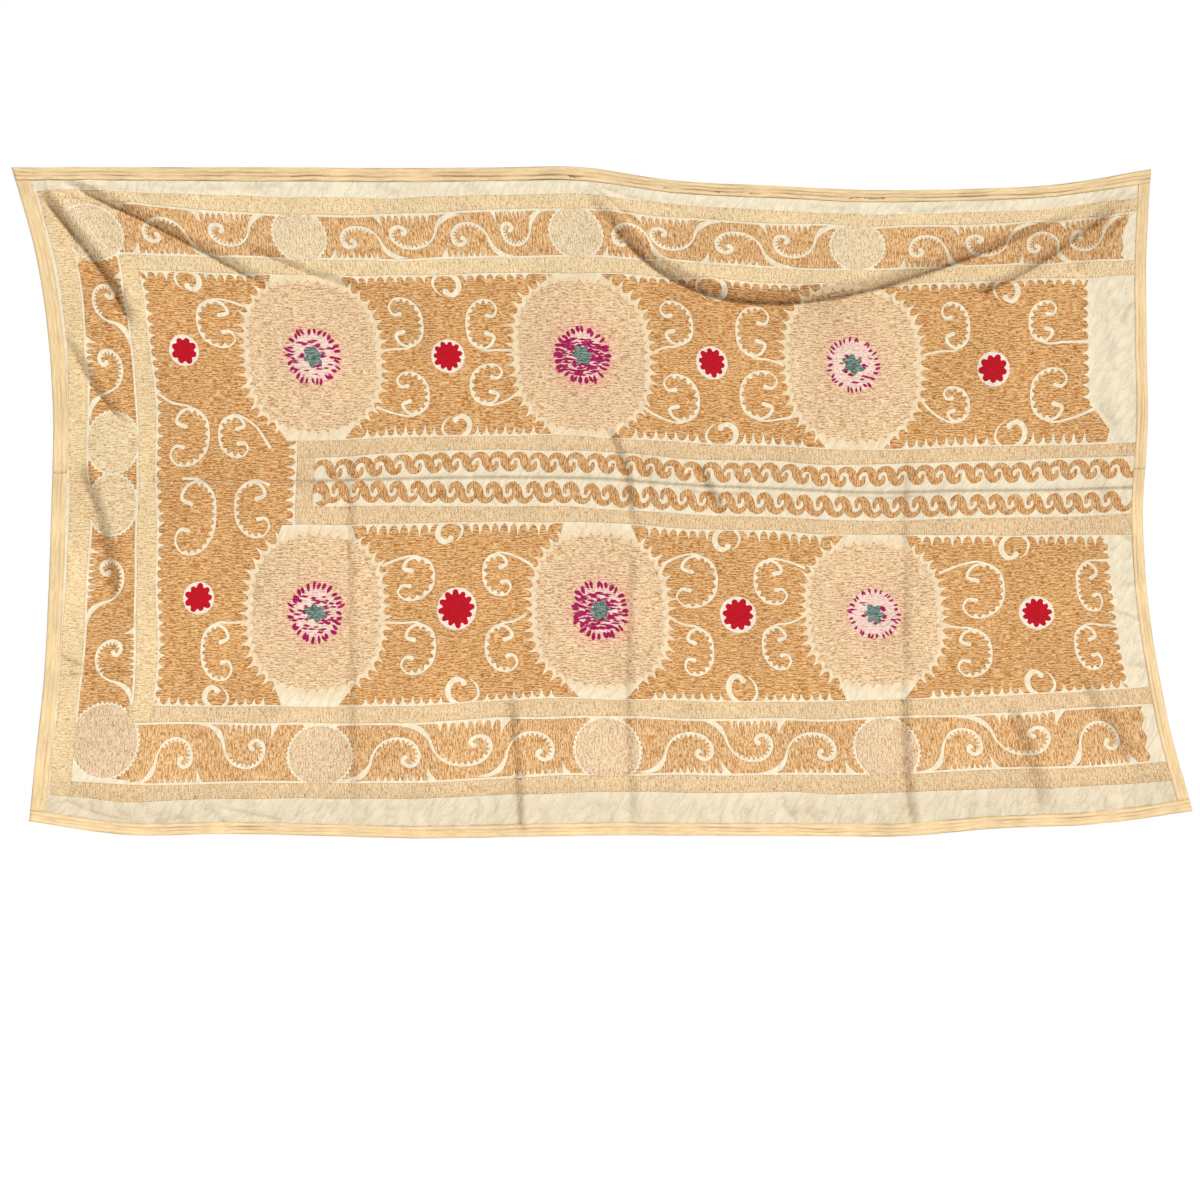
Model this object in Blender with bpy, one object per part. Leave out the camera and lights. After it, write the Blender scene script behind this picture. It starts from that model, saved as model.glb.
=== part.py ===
import bpy
import numpy as np
from mathutils.geometry import delaunay_2d_cdt

# Flat sizes in metres. s runs along the top edge from its left corner, t runs down from it.
WIDTH = 2.45
HEIGHT = 1.44
SEAM = 0.674  # where the two loom widths meet
CLOTH = 0.0015  # embroidered cotton
BINDING = 0.001  # edge strip, folded round the cloth
GAP = 0.0003
TOP_STRIP = 0.028
BOTTOM_STRIP = 0.026
LEFT_STRIP = 0.032
RIGHT_STRIP = 0.024
LEFT_JOIN = 0.654  # the side strips are pieced at these heights
RIGHT_JOIN = 0.634
CELL_S = 0.034
CELL_T = 0.038

# Where the side edges hang, from the point that holds the middle of the top edge, at even steps down.
LEFT_EDGE = (-1.210, -1.161, -1.132, -1.120, -1.124, -1.130, -1.140, -1.157, -1.172)
RIGHT_EDGE = (1.237, 1.228, 1.228, 1.231, 1.221, 1.228, 1.249, 1.281, 1.327)
DROP = 1.432

# How far each level of the cloth hangs above (+) or below (-) an even drop, in mm, at even steps along.
LEVELS = (
    # share of the drop, offsets from left to right
    (0.000, (0, 0, 0, 0, -1, 0, 0, -29, -40, -49, -47, -37, -4)),
    (0.147, (8, 7, 0, -4, -4, 1, 1, -10, -22, -27, -19, -12, -4)),
    (0.468, (-7, -6, -5, -3, 3, 5, 2, -12, -20, -28, -24, -22, -16)),
    (0.810, (-8, -12, -14, -15, -14, -2, 0, -5, -7, -2, 4, 15, 29)),
    (1.000, (28, -1, 1, -3, -8, -5, -2, -3, -4, -4, 13, 22, 50)),
)

# Folds: name, (s, t) points along the fold, half width, height. The ridge lies above or right of the line.
FOLDS = (
    ("left_pull", ((0.045, 0.03), (0.10, 0.14), (0.16, 0.25), (0.20, 0.36)), 0.020, 0.015),
    ("left_mid", ((0.04, 0.36), (0.10, 0.47), (0.17, 0.55)), 0.017, 0.009),
    ("left_low", ((0.06, 0.62), (0.12, 0.76), (0.16, 0.95)), 0.020, 0.011),
    ("left_slant", ((0.10, 0.02), (0.30, 0.13), (0.53, 0.26)), 0.016, 0.011),
    ("left_ray", ((0.46, 0.16), (0.61, 0.22), (0.74, 0.26)), 0.012, 0.005),
    ("swag", ((1.22, 0.03), (1.38, 0.20), (1.59, 0.26), (1.93, 0.20), (2.40, 0.03)), 0.020, 0.016),
    ("right_slant", ((2.05, 0.26), (2.20, 0.19), (2.43, 0.03)), 0.018, 0.014),
    ("right_ray", ((2.28, 0.22), (2.33, 0.16), (2.40, 0.09)), 0.012, 0.005),
    ("middle_tuck", ((1.24, 0.55), (1.29, 0.65), (1.31, 0.78)), 0.014, 0.008),
    ("seam_tuck", ((1.45, 0.62), (1.48, 0.68), (1.52, 0.74)), 0.014, 0.006),
    ("crease_left", ((0.67, 0.56), (0.68, 1.0), (0.69, 1.44)), 0.012, 0.003),
    ("crease_half", ((1.03, 1.12), (1.04, 1.28), (1.04, 1.45)), 0.013, 0.008),
    ("crease_middle", ((1.31, 0.78), (1.29, 1.1), (1.28, 1.45)), 0.012, 0.004),
    ("crease_right", ((1.92, 0.56), (1.92, 0.85), (1.90, 1.13)), 0.012, 0.003),
    ("right_tuck", ((1.90, 1.10), (1.88, 1.28), (1.87, 1.45)), 0.015, 0.009),
    ("right_low", ((2.12, 1.14), (2.15, 1.30), (2.16, 1.42)), 0.024, 0.008),
    ("right_corner", ((2.28, 1.10), (2.33, 1.22), (2.36, 1.32)), 0.022, 0.007),
)
# Broad swells: s, t, reach along s, reach along t, height.
SWELLS = (
    (0.30, 0.55, 0.30, 0.40, 0.012),
    (0.85, 0.40, 0.35, 0.35, -0.008),
    (1.75, 0.12, 0.35, 0.12, 0.014),
    (1.55, 0.80, 0.35, 0.35, 0.010),
    (2.20, 0.75, 0.25, 0.40, -0.008),
    (0.95, 1.25, 0.30, 0.25, 0.009),
    (1.62, 1.35, 0.22, 0.25, -0.008),
)


def spline(knots, values, x):
    """A smooth curve through the values at the knots, carried on straight past the ends."""
    knots, values = np.asarray(knots, float), np.asarray(values, float)
    slopes = np.gradient(values, knots, axis=0)
    inside = np.clip(x, knots[0], knots[-1])
    i = np.clip(np.searchsorted(knots, inside, side="right") - 1, 0, len(knots) - 2)
    step = knots[i + 1] - knots[i]
    q = (inside - knots[i]) / step
    smooth = (
        (2 * q**3 - 3 * q**2 + 1) * values[i]
        + (q**3 - 2 * q**2 + q) * step * slopes[i]
        + (3 * q**2 - 2 * q**3) * values[i + 1]
        + (q**3 - q**2) * step * slopes[i + 1]
    )
    past = np.where(x < inside, slopes[0], slopes[-1]) * (x - inside)
    return smooth + past


def along(points, count=40):
    """Even samples of the smooth path through the points, with how far along each one is."""
    points = np.asarray(points, float)
    knots = np.linspace(0, 1, len(points))
    q = np.linspace(0, 1, count)
    return np.stack([spline(knots, points[:, 0], q), spline(knots, points[:, 1], q)], 1), q


def fold_height(s, t, points, half_width, height):
    path, _ = along(points, 25)
    start, run = path[:-1], np.diff(path, axis=0)
    length = np.linalg.norm(run, axis=1)
    ds, dt = s[:, None] - start[:, 0], t[:, None] - start[:, 1]
    share = np.clip((ds * run[:, 0] + dt * run[:, 1]) / length**2, 0, 1)
    ds, dt = ds - share * run[:, 0], dt - share * run[:, 1]
    near, n = np.hypot(ds, dt).argmin(axis=1), np.arange(len(s))
    ds, dt = ds[n, near], dt[n, near]
    side = np.sign(run[near, 0] * dt - run[near, 1] * ds)
    d = side * np.hypot(ds, dt) / half_width
    q = (near + share[n, near]) / len(run)
    ends = np.minimum(1, np.minimum(q, 1 - q) / 0.16)
    return -height * ends**2 * (3 - 2 * ends) * d * np.exp((1 - d**2) / 2)


def depth(s, t):
    """How far the cloth stands out towards the front."""
    out = 0.0015 * np.sin(9 * s + 4 * t) * np.sin(11 * t - 3 * s + 1)
    for _, points, half_width, height in FOLDS:
        out = out + fold_height(s, t, points, half_width, height)
    for s0, t0, reach_s, reach_t, height in SWELLS:
        out = out + height * np.exp(-(((s - s0) / reach_s) ** 2) - ((t - t0) / reach_t) ** 2)
    return out


def hang(s, t):
    """Where the point (s, t) of the flat cloth hangs."""
    s, t = np.asarray(s, float), np.asarray(t, float)
    u, v = s / WIDTH, t / HEIGHT
    left = spline(np.linspace(0, 1, 9), LEFT_EDGE, v)
    right = spline(np.linspace(0, 1, 9), RIGHT_EDGE, v)
    rows = [spline(np.linspace(0, 1, 13), offsets, u) for _, offsets in LEVELS]
    shares = np.array([share for share, _ in LEVELS])
    slopes = np.gradient(np.array(rows), shares, axis=0)
    inside = np.clip(v, 0, 1)
    i = np.clip(np.searchsorted(shares, inside, side="right") - 1, 0, len(shares) - 2)
    step = shares[i + 1] - shares[i]
    q = (inside - shares[i]) / step
    rows, n = np.array(rows), np.arange(len(s))
    lift = (
        (2 * q**3 - 3 * q**2 + 1) * rows[i, n]
        + (q**3 - 2 * q**2 + q) * step * slopes[i, n]
        + (3 * q**2 - 2 * q**3) * rows[i + 1, n]
        + (q**3 - q**2) * step * slopes[i + 1, n]
    )
    return np.stack([left + (right - left) * u, -depth(s, t), lift / 1000 - DROP * v], 1)


def outward(s, t):
    """The direction that the front of the cloth faces."""
    e = 0.002
    down = hang(s, np.asarray(t) + e) - hang(s, np.asarray(t) - e)
    across = hang(np.asarray(s) + e, t) - hang(np.asarray(s) - e, t)
    normal = np.cross(down, across)
    return normal / np.linalg.norm(normal, axis=1)[:, None]


def even(start, end, cell, stops=()):
    """Values from start to end about a cell apart, with the stops among them."""
    marks = [start, *[stop for stop in stops if start < stop < end], end]
    found = [start]
    for a, b in zip(marks, marks[1:]):
        found += list(np.linspace(a, b, max(1, round((b - a) / cell)) + 1)[1:])
    return np.array(found)


def quads(first, second):
    """Two triangles for each step between two rows of points."""
    found = []
    for i in range(len(first) - 1):
        a, b, c, d = first[i], first[i + 1], second[i + 1], second[i]
        found += [(a, b, c), (a, c, d)]
    return found


def core_points(s0, s1, t0, t1):
    """Points inside a rectangle of the flat cloth: a plain grid, and closer rows along each fold."""
    points = []
    for _, path_points, half_width, height in FOLDS:
        if height < 0.004:
            continue
        length = np.linalg.norm(np.diff(np.asarray(path_points), axis=0), axis=1).sum()
        path, _ = along(path_points, max(4, round(length / 0.025)))
        run = np.gradient(path, axis=0)
        run /= np.linalg.norm(run, axis=1)[:, None]
        side = np.stack([-run[:, 1], run[:, 0]], 1)
        for share in (-2.7, -1.7, -0.85, 0.85, 1.7, 2.7):
            points += [tuple(p) for p in path + side * share * half_width]
    kept = []
    margin = 0.010
    for s, t in points:
        inside = s0 + margin < s < s1 - margin and t0 + margin < t < t1 - margin
        if inside and all((s - a) ** 2 + (t - b) ** 2 > 0.0095**2 for a, b in kept):
            kept.append((s, t))
    tight = np.array(kept)
    for row, t in enumerate(even(t0, t1, 0.042)[1:-1]):
        for s in even(s0, s1, 0.046)[1:-1] + (0.011 if row % 2 else -0.011):
            if np.hypot(tight[:, 0] - s, tight[:, 1] - t).min() > 0.028:
                kept.append((float(s), float(t)))
    return kept


def panel_faces(columns, rows, bound_first, bound_last):
    """Flat points and triangles of one panel. Its edge bands are plain quads, so that the strips match them."""
    points = [(s, t) for t in rows for s in columns]
    wide, high = len(columns), len(rows)
    at = lambda row, column: row * wide + column
    first, last = (1 if bound_first else 0), (high - 2 if bound_last else high - 1)
    faces = []
    if bound_first:
        faces += quads([at(0, c) for c in range(wide)], [at(1, c) for c in range(wide)])
    if bound_last:
        faces += quads(
            [at(high - 1, c) for c in range(wide)], [at(high - 2, c) for c in range(wide)]
        )
    side_rows = range(first, last + 1)
    faces += quads([at(r, 0) for r in side_rows], [at(r, 1) for r in side_rows])
    faces += quads([at(r, wide - 1) for r in side_rows], [at(r, wide - 2) for r in side_rows])
    ring = [at(first, c) for c in range(1, wide - 1)]
    ring += [at(r, wide - 2) for r in range(first + 1, last + 1)]
    ring += [at(last, c) for c in range(wide - 3, 0, -1)]
    ring += [at(r, 1) for r in range(last - 1, first, -1)]
    inner = core_points(columns[1], columns[-2], rows[first], rows[last])
    base = len(ring)
    flat = [points[i] for i in ring] + inner
    ring_edges = [(i, (i + 1) % base) for i in range(base)]
    made = delaunay_2d_cdt(flat, ring_edges, [], 1, 1e-7, True)
    where = {}
    for i, p in enumerate(made[0]):
        source = made[3][i][0]
        if source < base:
            where[i] = ring[source]
        else:
            where[i] = len(points)
            points.append((p.x, p.y))
    faces += [tuple(where[i] for i in face) for face in made[2]]
    used = sorted({i for face in faces for i in face})
    back = {old: new for new, old in enumerate(used)}
    return np.array([points[i] for i in used]), [tuple(back[i] for i in face) for face in faces]


def facing(flat, faces):
    """The triangles, all wound the same way round on the flat cloth."""
    found = []
    for a, b, c in faces:
        cross = np.cross(flat[b] - flat[a], flat[c] - flat[a])
        found.append((a, b, c) if cross < 0 else (a, c, b))
    return found


def add_object(name, points, faces, color):
    mesh = bpy.data.meshes.new(name)
    mesh.from_pydata([tuple(p) for p in points], [], faces)
    mesh.validate()
    material = bpy.data.materials.new(name)
    material.use_nodes = True
    shader = material.node_tree.nodes["Principled BSDF"]
    shader.inputs["Base Color"].default_value = (*color, 1)
    shader.inputs["Roughness"].default_value = 0.9
    mesh.materials.append(material)
    mesh.shade_smooth()
    part = bpy.data.objects.new(name, mesh)
    bpy.context.scene.collection.objects.link(part)


def panel(name, columns, rows, bound_first, bound_last, color):
    flat, faces = panel_faces(columns, rows, bound_first, bound_last)
    faces = facing(flat, faces)
    middle, normal = hang(flat[:, 0], flat[:, 1]), outward(flat[:, 0], flat[:, 1])
    count = len(flat)
    points = np.concatenate([middle + normal * CLOTH / 2, middle - normal * CLOTH / 2])
    ways = {}
    for face in faces:
        for a, b in zip(face, face[1:] + face[:1]):
            ways[(a, b)] = True
    rim = [(a, b) for a, b in ways if (b, a) not in ways]
    solid = faces + [tuple(i + count for i in reversed(face)) for face in faces]
    for a, b in rim:
        solid += [(b, a, a + count), (b, a + count, b + count)]
    add_object(name, points, solid, color)


def strip(name, marks, edge, inner, across, color):
    """A strip folded round an edge: marks run along the edge, which lies at edge; inner is its free side."""
    sign = 1 if inner > edge else -1
    near, far = CLOTH / 2 + GAP, CLOTH / 2 + GAP + BINDING
    lip, fold = edge - sign * GAP, edge - sign * (GAP + BINDING)
    section = (
        (inner, near), (lip, near), (lip, -near), (inner, -near),
        (inner, -far), (fold, -far), (fold, far), (inner, far),
    )
    rings = []
    for place, out in section:
        level = np.full(len(marks), place)
        s, t = (level, marks) if across else (marks, level)
        rings.append(hang(s, t) + outward(s, t) * out)
    points = np.concatenate(rings)
    count, turns = len(marks), len(section)
    faces = []
    for k in range(turns):
        here = [k * count + i for i in range(count)]
        there = [(k + 1) % turns * count + i for i in range(count)]
        # Both faces of a leg are split the same way as the cloth that they lie on, and so is the bend.
        faces += quads(there, here) if k in (0, 4, 5) else [
            tuple(reversed(face)) for face in quads(here, there)
        ]
    for i, turned in ((0, True), (count - 1, False)):
        ends = [k * count + i for k in range(turns)]
        for a, b, c, d in ((0, 1, 6, 7), (1, 2, 5, 6), (2, 3, 4, 5)):
            for face in ((ends[a], ends[b], ends[c]), (ends[a], ends[c], ends[d])):
                faces.append(tuple(reversed(face)) if turned else face)
    mesh = bpy.data.meshes.new("volume")
    mesh.from_pydata([tuple(p) for p in points], [], faces)
    mesh.calc_loop_triangles()
    corners = points[np.array([f.vertices for f in mesh.loop_triangles])]
    inside_out = np.einsum("ij,ij->i", corners[:, 0], np.cross(corners[:, 1], corners[:, 2])).sum() < 0
    bpy.data.meshes.remove(mesh)
    add_object(name, points, [tuple(reversed(f)) for f in faces] if inside_out else faces, color)


def main():
    for thing in list(bpy.data.objects):
        bpy.data.objects.remove(thing)
    columns = np.array([0, *even(LEFT_STRIP, WIDTH - RIGHT_STRIP, CELL_S), WIDTH])
    joins = (RIGHT_JOIN, LEFT_JOIN)
    upper_rows = np.array([0, *even(TOP_STRIP, SEAM - GAP / 2, CELL_T, joins)])
    lower_rows = np.array([*even(SEAM + GAP / 2, HEIGHT - BOTTOM_STRIP, CELL_T), HEIGHT])
    linen, edging = (0.58, 0.37, 0.19), (0.80, 0.62, 0.36)
    panel("panel_upper", columns, upper_rows, True, False, linen)
    panel("panel_lower", columns, lower_rows, False, True, linen)

    over = GAP + BINDING
    ends = columns.copy()
    ends[0], ends[-1] = -over, WIDTH + over
    strip("binding_top", ends, 0, TOP_STRIP, False, edging)
    strip("binding_bottom", ends, HEIGHT, HEIGHT - BOTTOM_STRIP, False, edging)

    rows = np.concatenate([upper_rows[1:-1], [SEAM], lower_rows[1:-1]])
    rows[0] += GAP
    rows[-1] -= GAP
    for side, edge, inner, join in (
        ("left", 0, LEFT_STRIP, LEFT_JOIN),
        ("right", WIDTH, WIDTH - RIGHT_STRIP, RIGHT_JOIN),
    ):
        above = np.array([*rows[rows < join - GAP], join - GAP / 2])
        below = np.array([join + GAP / 2, *rows[rows > join + GAP]])
        strip(f"binding_{side}_upper", above, edge, inner, True, edging)
        strip(f"binding_{side}_lower", below, edge, inner, True, edging)


main()
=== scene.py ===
import bpy
import numpy as np
from mathutils.geometry import delaunay_2d_cdt
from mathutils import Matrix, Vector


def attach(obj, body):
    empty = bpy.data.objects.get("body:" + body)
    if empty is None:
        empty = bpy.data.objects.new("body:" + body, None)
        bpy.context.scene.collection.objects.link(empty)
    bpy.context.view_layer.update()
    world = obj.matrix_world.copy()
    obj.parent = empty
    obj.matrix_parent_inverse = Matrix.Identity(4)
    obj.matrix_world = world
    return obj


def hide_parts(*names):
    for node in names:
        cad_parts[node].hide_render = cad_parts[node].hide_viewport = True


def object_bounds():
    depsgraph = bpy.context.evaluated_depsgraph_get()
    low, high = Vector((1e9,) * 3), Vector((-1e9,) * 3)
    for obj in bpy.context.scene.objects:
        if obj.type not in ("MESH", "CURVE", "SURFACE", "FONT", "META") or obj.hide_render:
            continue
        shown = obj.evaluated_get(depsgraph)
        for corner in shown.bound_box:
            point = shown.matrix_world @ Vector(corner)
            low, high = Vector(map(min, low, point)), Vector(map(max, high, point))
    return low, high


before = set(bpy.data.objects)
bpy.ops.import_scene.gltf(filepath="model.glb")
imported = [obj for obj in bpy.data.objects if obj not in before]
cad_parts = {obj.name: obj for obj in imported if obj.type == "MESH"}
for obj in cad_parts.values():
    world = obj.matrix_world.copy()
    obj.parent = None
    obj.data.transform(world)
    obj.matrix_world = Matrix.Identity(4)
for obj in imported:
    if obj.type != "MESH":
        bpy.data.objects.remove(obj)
cad_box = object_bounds()
bpy.ops.object.select_all(action="DESELECT")

# --------------------------------------------------------------------
# The view. The hanging is seen straight on from across a room, a little low in an open picture,
# with bare ground under it. The lens is long, so the cloth keeps its even outline.
VIEW_WIDTH = 2.58
VIEW_MIDDLE = (0.054, -0.929)
VIEW_DISTANCE = 6.5

camera_data = bpy.data.cameras.new("camera")
camera_data.sensor_width = 36
camera_data.lens = camera_data.sensor_width * VIEW_DISTANCE / VIEW_WIDTH
camera_data.dof.use_dof = False
camera = bpy.data.objects.new("camera", camera_data)
camera.location = (VIEW_MIDDLE[0], -VIEW_DISTANCE, VIEW_MIDDLE[1])
camera.rotation_euler = (np.pi / 2, 0, 0)
bpy.context.scene.collection.objects.link(camera)
bpy.context.scene.camera = camera
bpy.context.scene.view_settings.view_transform = "Standard"

# --------------------------------------------------------------------
# The light. One soft lamp stands high in front, a little to the right, and rakes the folds. A
# weaker one lights the back. The room is white all round, and the plain pale floor lies well below
# the hem.
LAMPS = (
    # name, strength, softness, turn
    ("key", 2.60, np.radians(10), (np.radians(46), 0, np.radians(26))),
    ("back_fill", 1.2, np.radians(20), (np.radians(50), 0, np.radians(202))),
)
LAMP_COLOR = (1.0, 0.985, 0.955)
WHITE = (1, 1, 1, 1)
ROOM_STRENGTH = 0.27
FLOOR_DROP, FLOOR_SIZE = 1.75, 14
FLOOR_COLOR, FLOOR_ROUGHNESS, FLOOR_GLOW = (0.97, 0.97, 0.97, 1), 0.9, 0.22

for name, strength, softness, turn in LAMPS:
    lamp_data = bpy.data.lights.new(name, "SUN")
    lamp_data.energy = strength
    lamp_data.angle = softness
    lamp_data.color = LAMP_COLOR
    lamp = bpy.data.objects.new(name, lamp_data)
    lamp.rotation_euler = turn
    bpy.context.scene.collection.objects.link(lamp)

room = bpy.data.worlds.new("room")
room.use_nodes = True
room_nodes, room_links = room.node_tree.nodes, room.node_tree.links
room_light, seen_wall = room_nodes["Background"], room_nodes.new("ShaderNodeBackground")
room_light.inputs["Color"].default_value = WHITE
room_light.inputs["Strength"].default_value = ROOM_STRENGTH
seen_wall.inputs["Color"].default_value = WHITE
which_ray, room_mix = room_nodes.new("ShaderNodeLightPath"), room_nodes.new("ShaderNodeMixShader")
mixed = (which_ray.outputs["Is Camera Ray"], room_light.outputs[0], seen_wall.outputs[0])
for i, output in enumerate(mixed):
    room_links.new(output, room_mix.inputs[i])
room_links.new(room_mix.outputs[0], room_nodes["World Output"].inputs[0])
bpy.context.scene.world = room

bpy.ops.mesh.primitive_plane_add(size=FLOOR_SIZE, location=(0, 0, cad_box[0].z - FLOOR_DROP))
floor = bpy.context.object
floor.name = "floor"
bpy.ops.object.transform_apply(location=True)
floor_paint = bpy.data.materials.new("floor_paint")
floor_paint.use_nodes = True
paint = floor_paint.node_tree.nodes["Principled BSDF"].inputs
paint["Base Color"].default_value = FLOOR_COLOR
paint["Roughness"].default_value = FLOOR_ROUGHNESS
paint["Emission Color"].default_value = WHITE
paint["Emission Strength"].default_value = FLOOR_GLOW
floor.data.materials.append(floor_paint)

# --------------------------------------------------------------------
# How the cloth hangs. It is pinned at three places along its top edge, sags between the middle
# and right ones, and is pulled into slanting folds below them. s runs along the top edge from its
# left corner and t runs down from it, both on the flat cloth and in metres.
WIDTH = 2.45
HEIGHT = 1.44
SEAM = 0.674
SEAM_GAP = 0.0003
LEFT_EDGE = (-1.210, -1.161, -1.132, -1.120, -1.124, -1.130, -1.140, -1.157, -1.172)
RIGHT_EDGE = (1.237, 1.228, 1.228, 1.231, 1.221, 1.228, 1.249, 1.281, 1.327)
DROP = 1.432
LEVELS = (
    # share of the drop, how far the cloth hangs off an even drop in mm, from left to right
    (0.000, (0, 0, 0, 0, -1, 0, 0, -29, -40, -49, -47, -37, -4)),
    (0.147, (8, 7, 0, -4, -4, 1, 1, -10, -22, -27, -19, -12, -4)),
    (0.468, (-7, -6, -5, -3, 3, 5, 2, -12, -20, -28, -24, -22, -16)),
    (0.810, (-8, -12, -14, -15, -14, -2, 0, -5, -7, -2, 4, 15, 29)),
    (1.000, (28, -1, 1, -3, -8, -5, -2, -3, -4, -4, 13, 22, 50)),
)


def in_metres(*rows):
    """Rows of points, half width, and height or depth, which are written in millimetres."""
    return [(np.array(points) / 1000, wide / 1000, high / 1000) for points, wide, high in rows]


FOLDS = in_metres(
    # points along the fold, half width, height; the ridge lies above or right of the line
    # pulled down from the left corner and the left edge, then across to the first rosette
    (((45, 30), (100, 140), (160, 250), (200, 360)), 20, 15),
    (((40, 360), (100, 470), (170, 550)), 17, 9),
    (((60, 620), (120, 760), (160, 950)), 20, 11),
    (((100, 20), (300, 130), (530, 260)), 16, 11),
    (((460, 160), (610, 220), (740, 260)), 12, 5),
    # the wide swag, and two that rise to the right corner
    (((1220, 30), (1380, 200), (1590, 260), (1930, 200), (2400, 30)), 20, 16),
    (((2050, 260), (2200, 190), (2430, 30)), 18, 14),
    (((2280, 220), (2330, 160), (2400, 90)), 12, 5),
    # tucks by the seam
    (((1240, 550), (1290, 650), (1310, 780)), 14, 8),
    (((1450, 620), (1480, 680), (1520, 740)), 14, 6),
    # upright creases
    (((670, 560), (680, 1000), (690, 1440)), 12, 3),
    (((1030, 1120), (1040, 1280), (1040, 1450)), 13, 8),
    (((1310, 780), (1290, 1100), (1280, 1450)), 12, 4),
    (((1920, 560), (1920, 850), (1900, 1130)), 12, 3),
    (((1900, 1100), (1880, 1280), (1870, 1450)), 15, 9),
    # the right end of the foot
    (((2120, 1140), (2150, 1300), (2160, 1420)), 24, 8),
    (((2280, 1100), (2330, 1220), (2360, 1320)), 22, 7),
)
SWELLS = (
    # s, t, reach along s, reach along t, height
    (0.30, 0.55, 0.30, 0.40, 0.012),
    (0.85, 0.40, 0.35, 0.35, -0.008),
    (1.75, 0.12, 0.35, 0.12, 0.014),
    (1.55, 0.80, 0.35, 0.35, 0.010),
    (2.20, 0.75, 0.25, 0.40, -0.008),
    (0.95, 1.25, 0.30, 0.25, 0.009),
    (1.62, 1.35, 0.22, 0.25, -0.008),
)
RIPPLE = 0.0015
# The folds are drawn in to these shares of their widths and heights above.
TIGHTER, LOWER = 0.72, 0.80
CREASES = in_metres(
    # points along a sharp crease, half width, depth
    # they fan out from the left corner, the middle and the right corner, where the cloth is held
    (((50, 30), (130, 72), (240, 100)), 5, 1.6),
    (((50, 34), (80, 110), (100, 210)), 5, 1.6),
    (((60, 30), (190, 46), (310, 52)), 4, 1.2),
    (((260, 30), (330, 44), (420, 52)), 4, 1.0),
    (((120, 120), (220, 190), (330, 235)), 6, 1.0),
    (((1225, 30), (1290, 70), (1350, 125)), 5, 1.8),
    (((1230, 28), (1330, 52), (1460, 66)), 5, 1.6),
    (((1220, 35), (1250, 90), (1270, 170)), 6, 1.2),
    (((1260, 48), (1330, 105), (1400, 150)), 6, 1.0),
    (((2420, 30), (2330, 86), (2240, 132)), 5, 1.8),
    (((2425, 40), (2390, 105), (2330, 195)), 5, 1.2),
    (((2420, 30), (2360, 52), (2270, 70)), 4, 1.4),
    # the swag's foot, the seam, the foot and the right and left edges
    (((1620, 232), (1780, 238), (1960, 226)), 6, 1.2),
    (((1390, 678), (1480, 690), (1600, 684)), 5, 2.0),
    (((1730, 672), (1850, 686), (1980, 680)), 5, 1.6),
    (((1310, 600), (1340, 665), (1350, 740)), 6, 1.6),
    (((680, 600), (660, 680), (680, 760)), 7, 1.2),
    (((380, 1376), (460, 1392), (550, 1410)), 5, 1.4),
    (((60, 1372), (130, 1396), (240, 1412)), 5, 1.6),
    (((2350, 955), (2400, 972), (2430, 990)), 5, 1.8),
    (((35, 1044), (60, 1054), (95, 1070)), 5, 3.4),
    (((35, 1084), (110, 1078), (220, 1076)), 5, 3.0),
)
PLAIN_COTTON = (
    # s from and to, t from and to, number of small creases, least and greatest slant
    (0.05, 2.40, 0.032, 0.056, 46, -0.30, 0.45),
    (0.04, 2.42, 1.374, 1.410, 64, -1.20, 1.30),
    (2.335, 2.425, 0.240, 0.570, 18, 0.60, 2.10),
    (2.385, 2.428, 0.790, 1.140, 16, -0.60, 0.90),
)


def placed(knots, x):
    """Each x kept inside the knots, the knot before it, the step to the next, the share of that step."""
    inside = np.clip(x, knots[0], knots[-1])
    i = np.clip(np.searchsorted(knots, inside, side="right") - 1, 0, len(knots) - 2)
    step = knots[i + 1] - knots[i]
    return inside, i, step, (inside - knots[i]) / step


def between(q, step, value, following, slope, following_slope):
    """A smooth passage from a value to the following one, with these slopes, at the share q."""
    return (
        (2 * q**3 - 3 * q**2 + 1) * value
        + (q**3 - 2 * q**2 + q) * step * slope
        + (3 * q**2 - 2 * q**3) * following
        + (q**3 - q**2) * step * following_slope
    )


def spline(knots, values, x):
    """A smooth curve through the values at the knots, carried on straight past the ends."""
    knots, values = np.asarray(knots, float), np.asarray(values, float)
    slopes = np.gradient(values, knots, axis=0)
    inside, i, step, q = placed(knots, x)
    past = np.where(x < inside, slopes[0], slopes[-1]) * (x - inside)
    return between(q, step, values[i], values[i + 1], slopes[i], slopes[i + 1]) + past


def drawn(points):
    """The smooth line through a few points of the cloth."""
    points = np.asarray(points, float)
    knots, q = np.linspace(0, 1, len(points)), np.linspace(0, 1, 25)
    return np.stack([spline(knots, points[:, 0], q), spline(knots, points[:, 1], q)], 1)


def beside(s, t, points, reach):
    """The spots within reach of a line: which they are, how far to its side, how far along it."""
    path = drawn(points)
    (left, top), (right, foot) = path.min(axis=0) - reach, path.max(axis=0) + reach
    which = np.flatnonzero((s > left) & (s < right) & (t > top) & (t < foot))
    s, t = s[which], t[which]
    start, run = path[:-1], np.diff(path, axis=0)
    length = np.linalg.norm(run, axis=1)
    ds, dt = s[:, None] - start[:, 0], t[:, None] - start[:, 1]
    share = np.clip((ds * run[:, 0] + dt * run[:, 1]) / length**2, 0, 1)
    ds, dt = ds - share * run[:, 0], dt - share * run[:, 1]
    near, n = np.hypot(ds, dt).argmin(axis=1), np.arange(len(s))
    ds, dt = ds[n, near], dt[n, near]
    side = np.sign(run[near, 0] * dt - run[near, 1] * ds)
    return which, side * np.hypot(ds, dt), (near + share[n, near]) / len(run)


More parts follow.
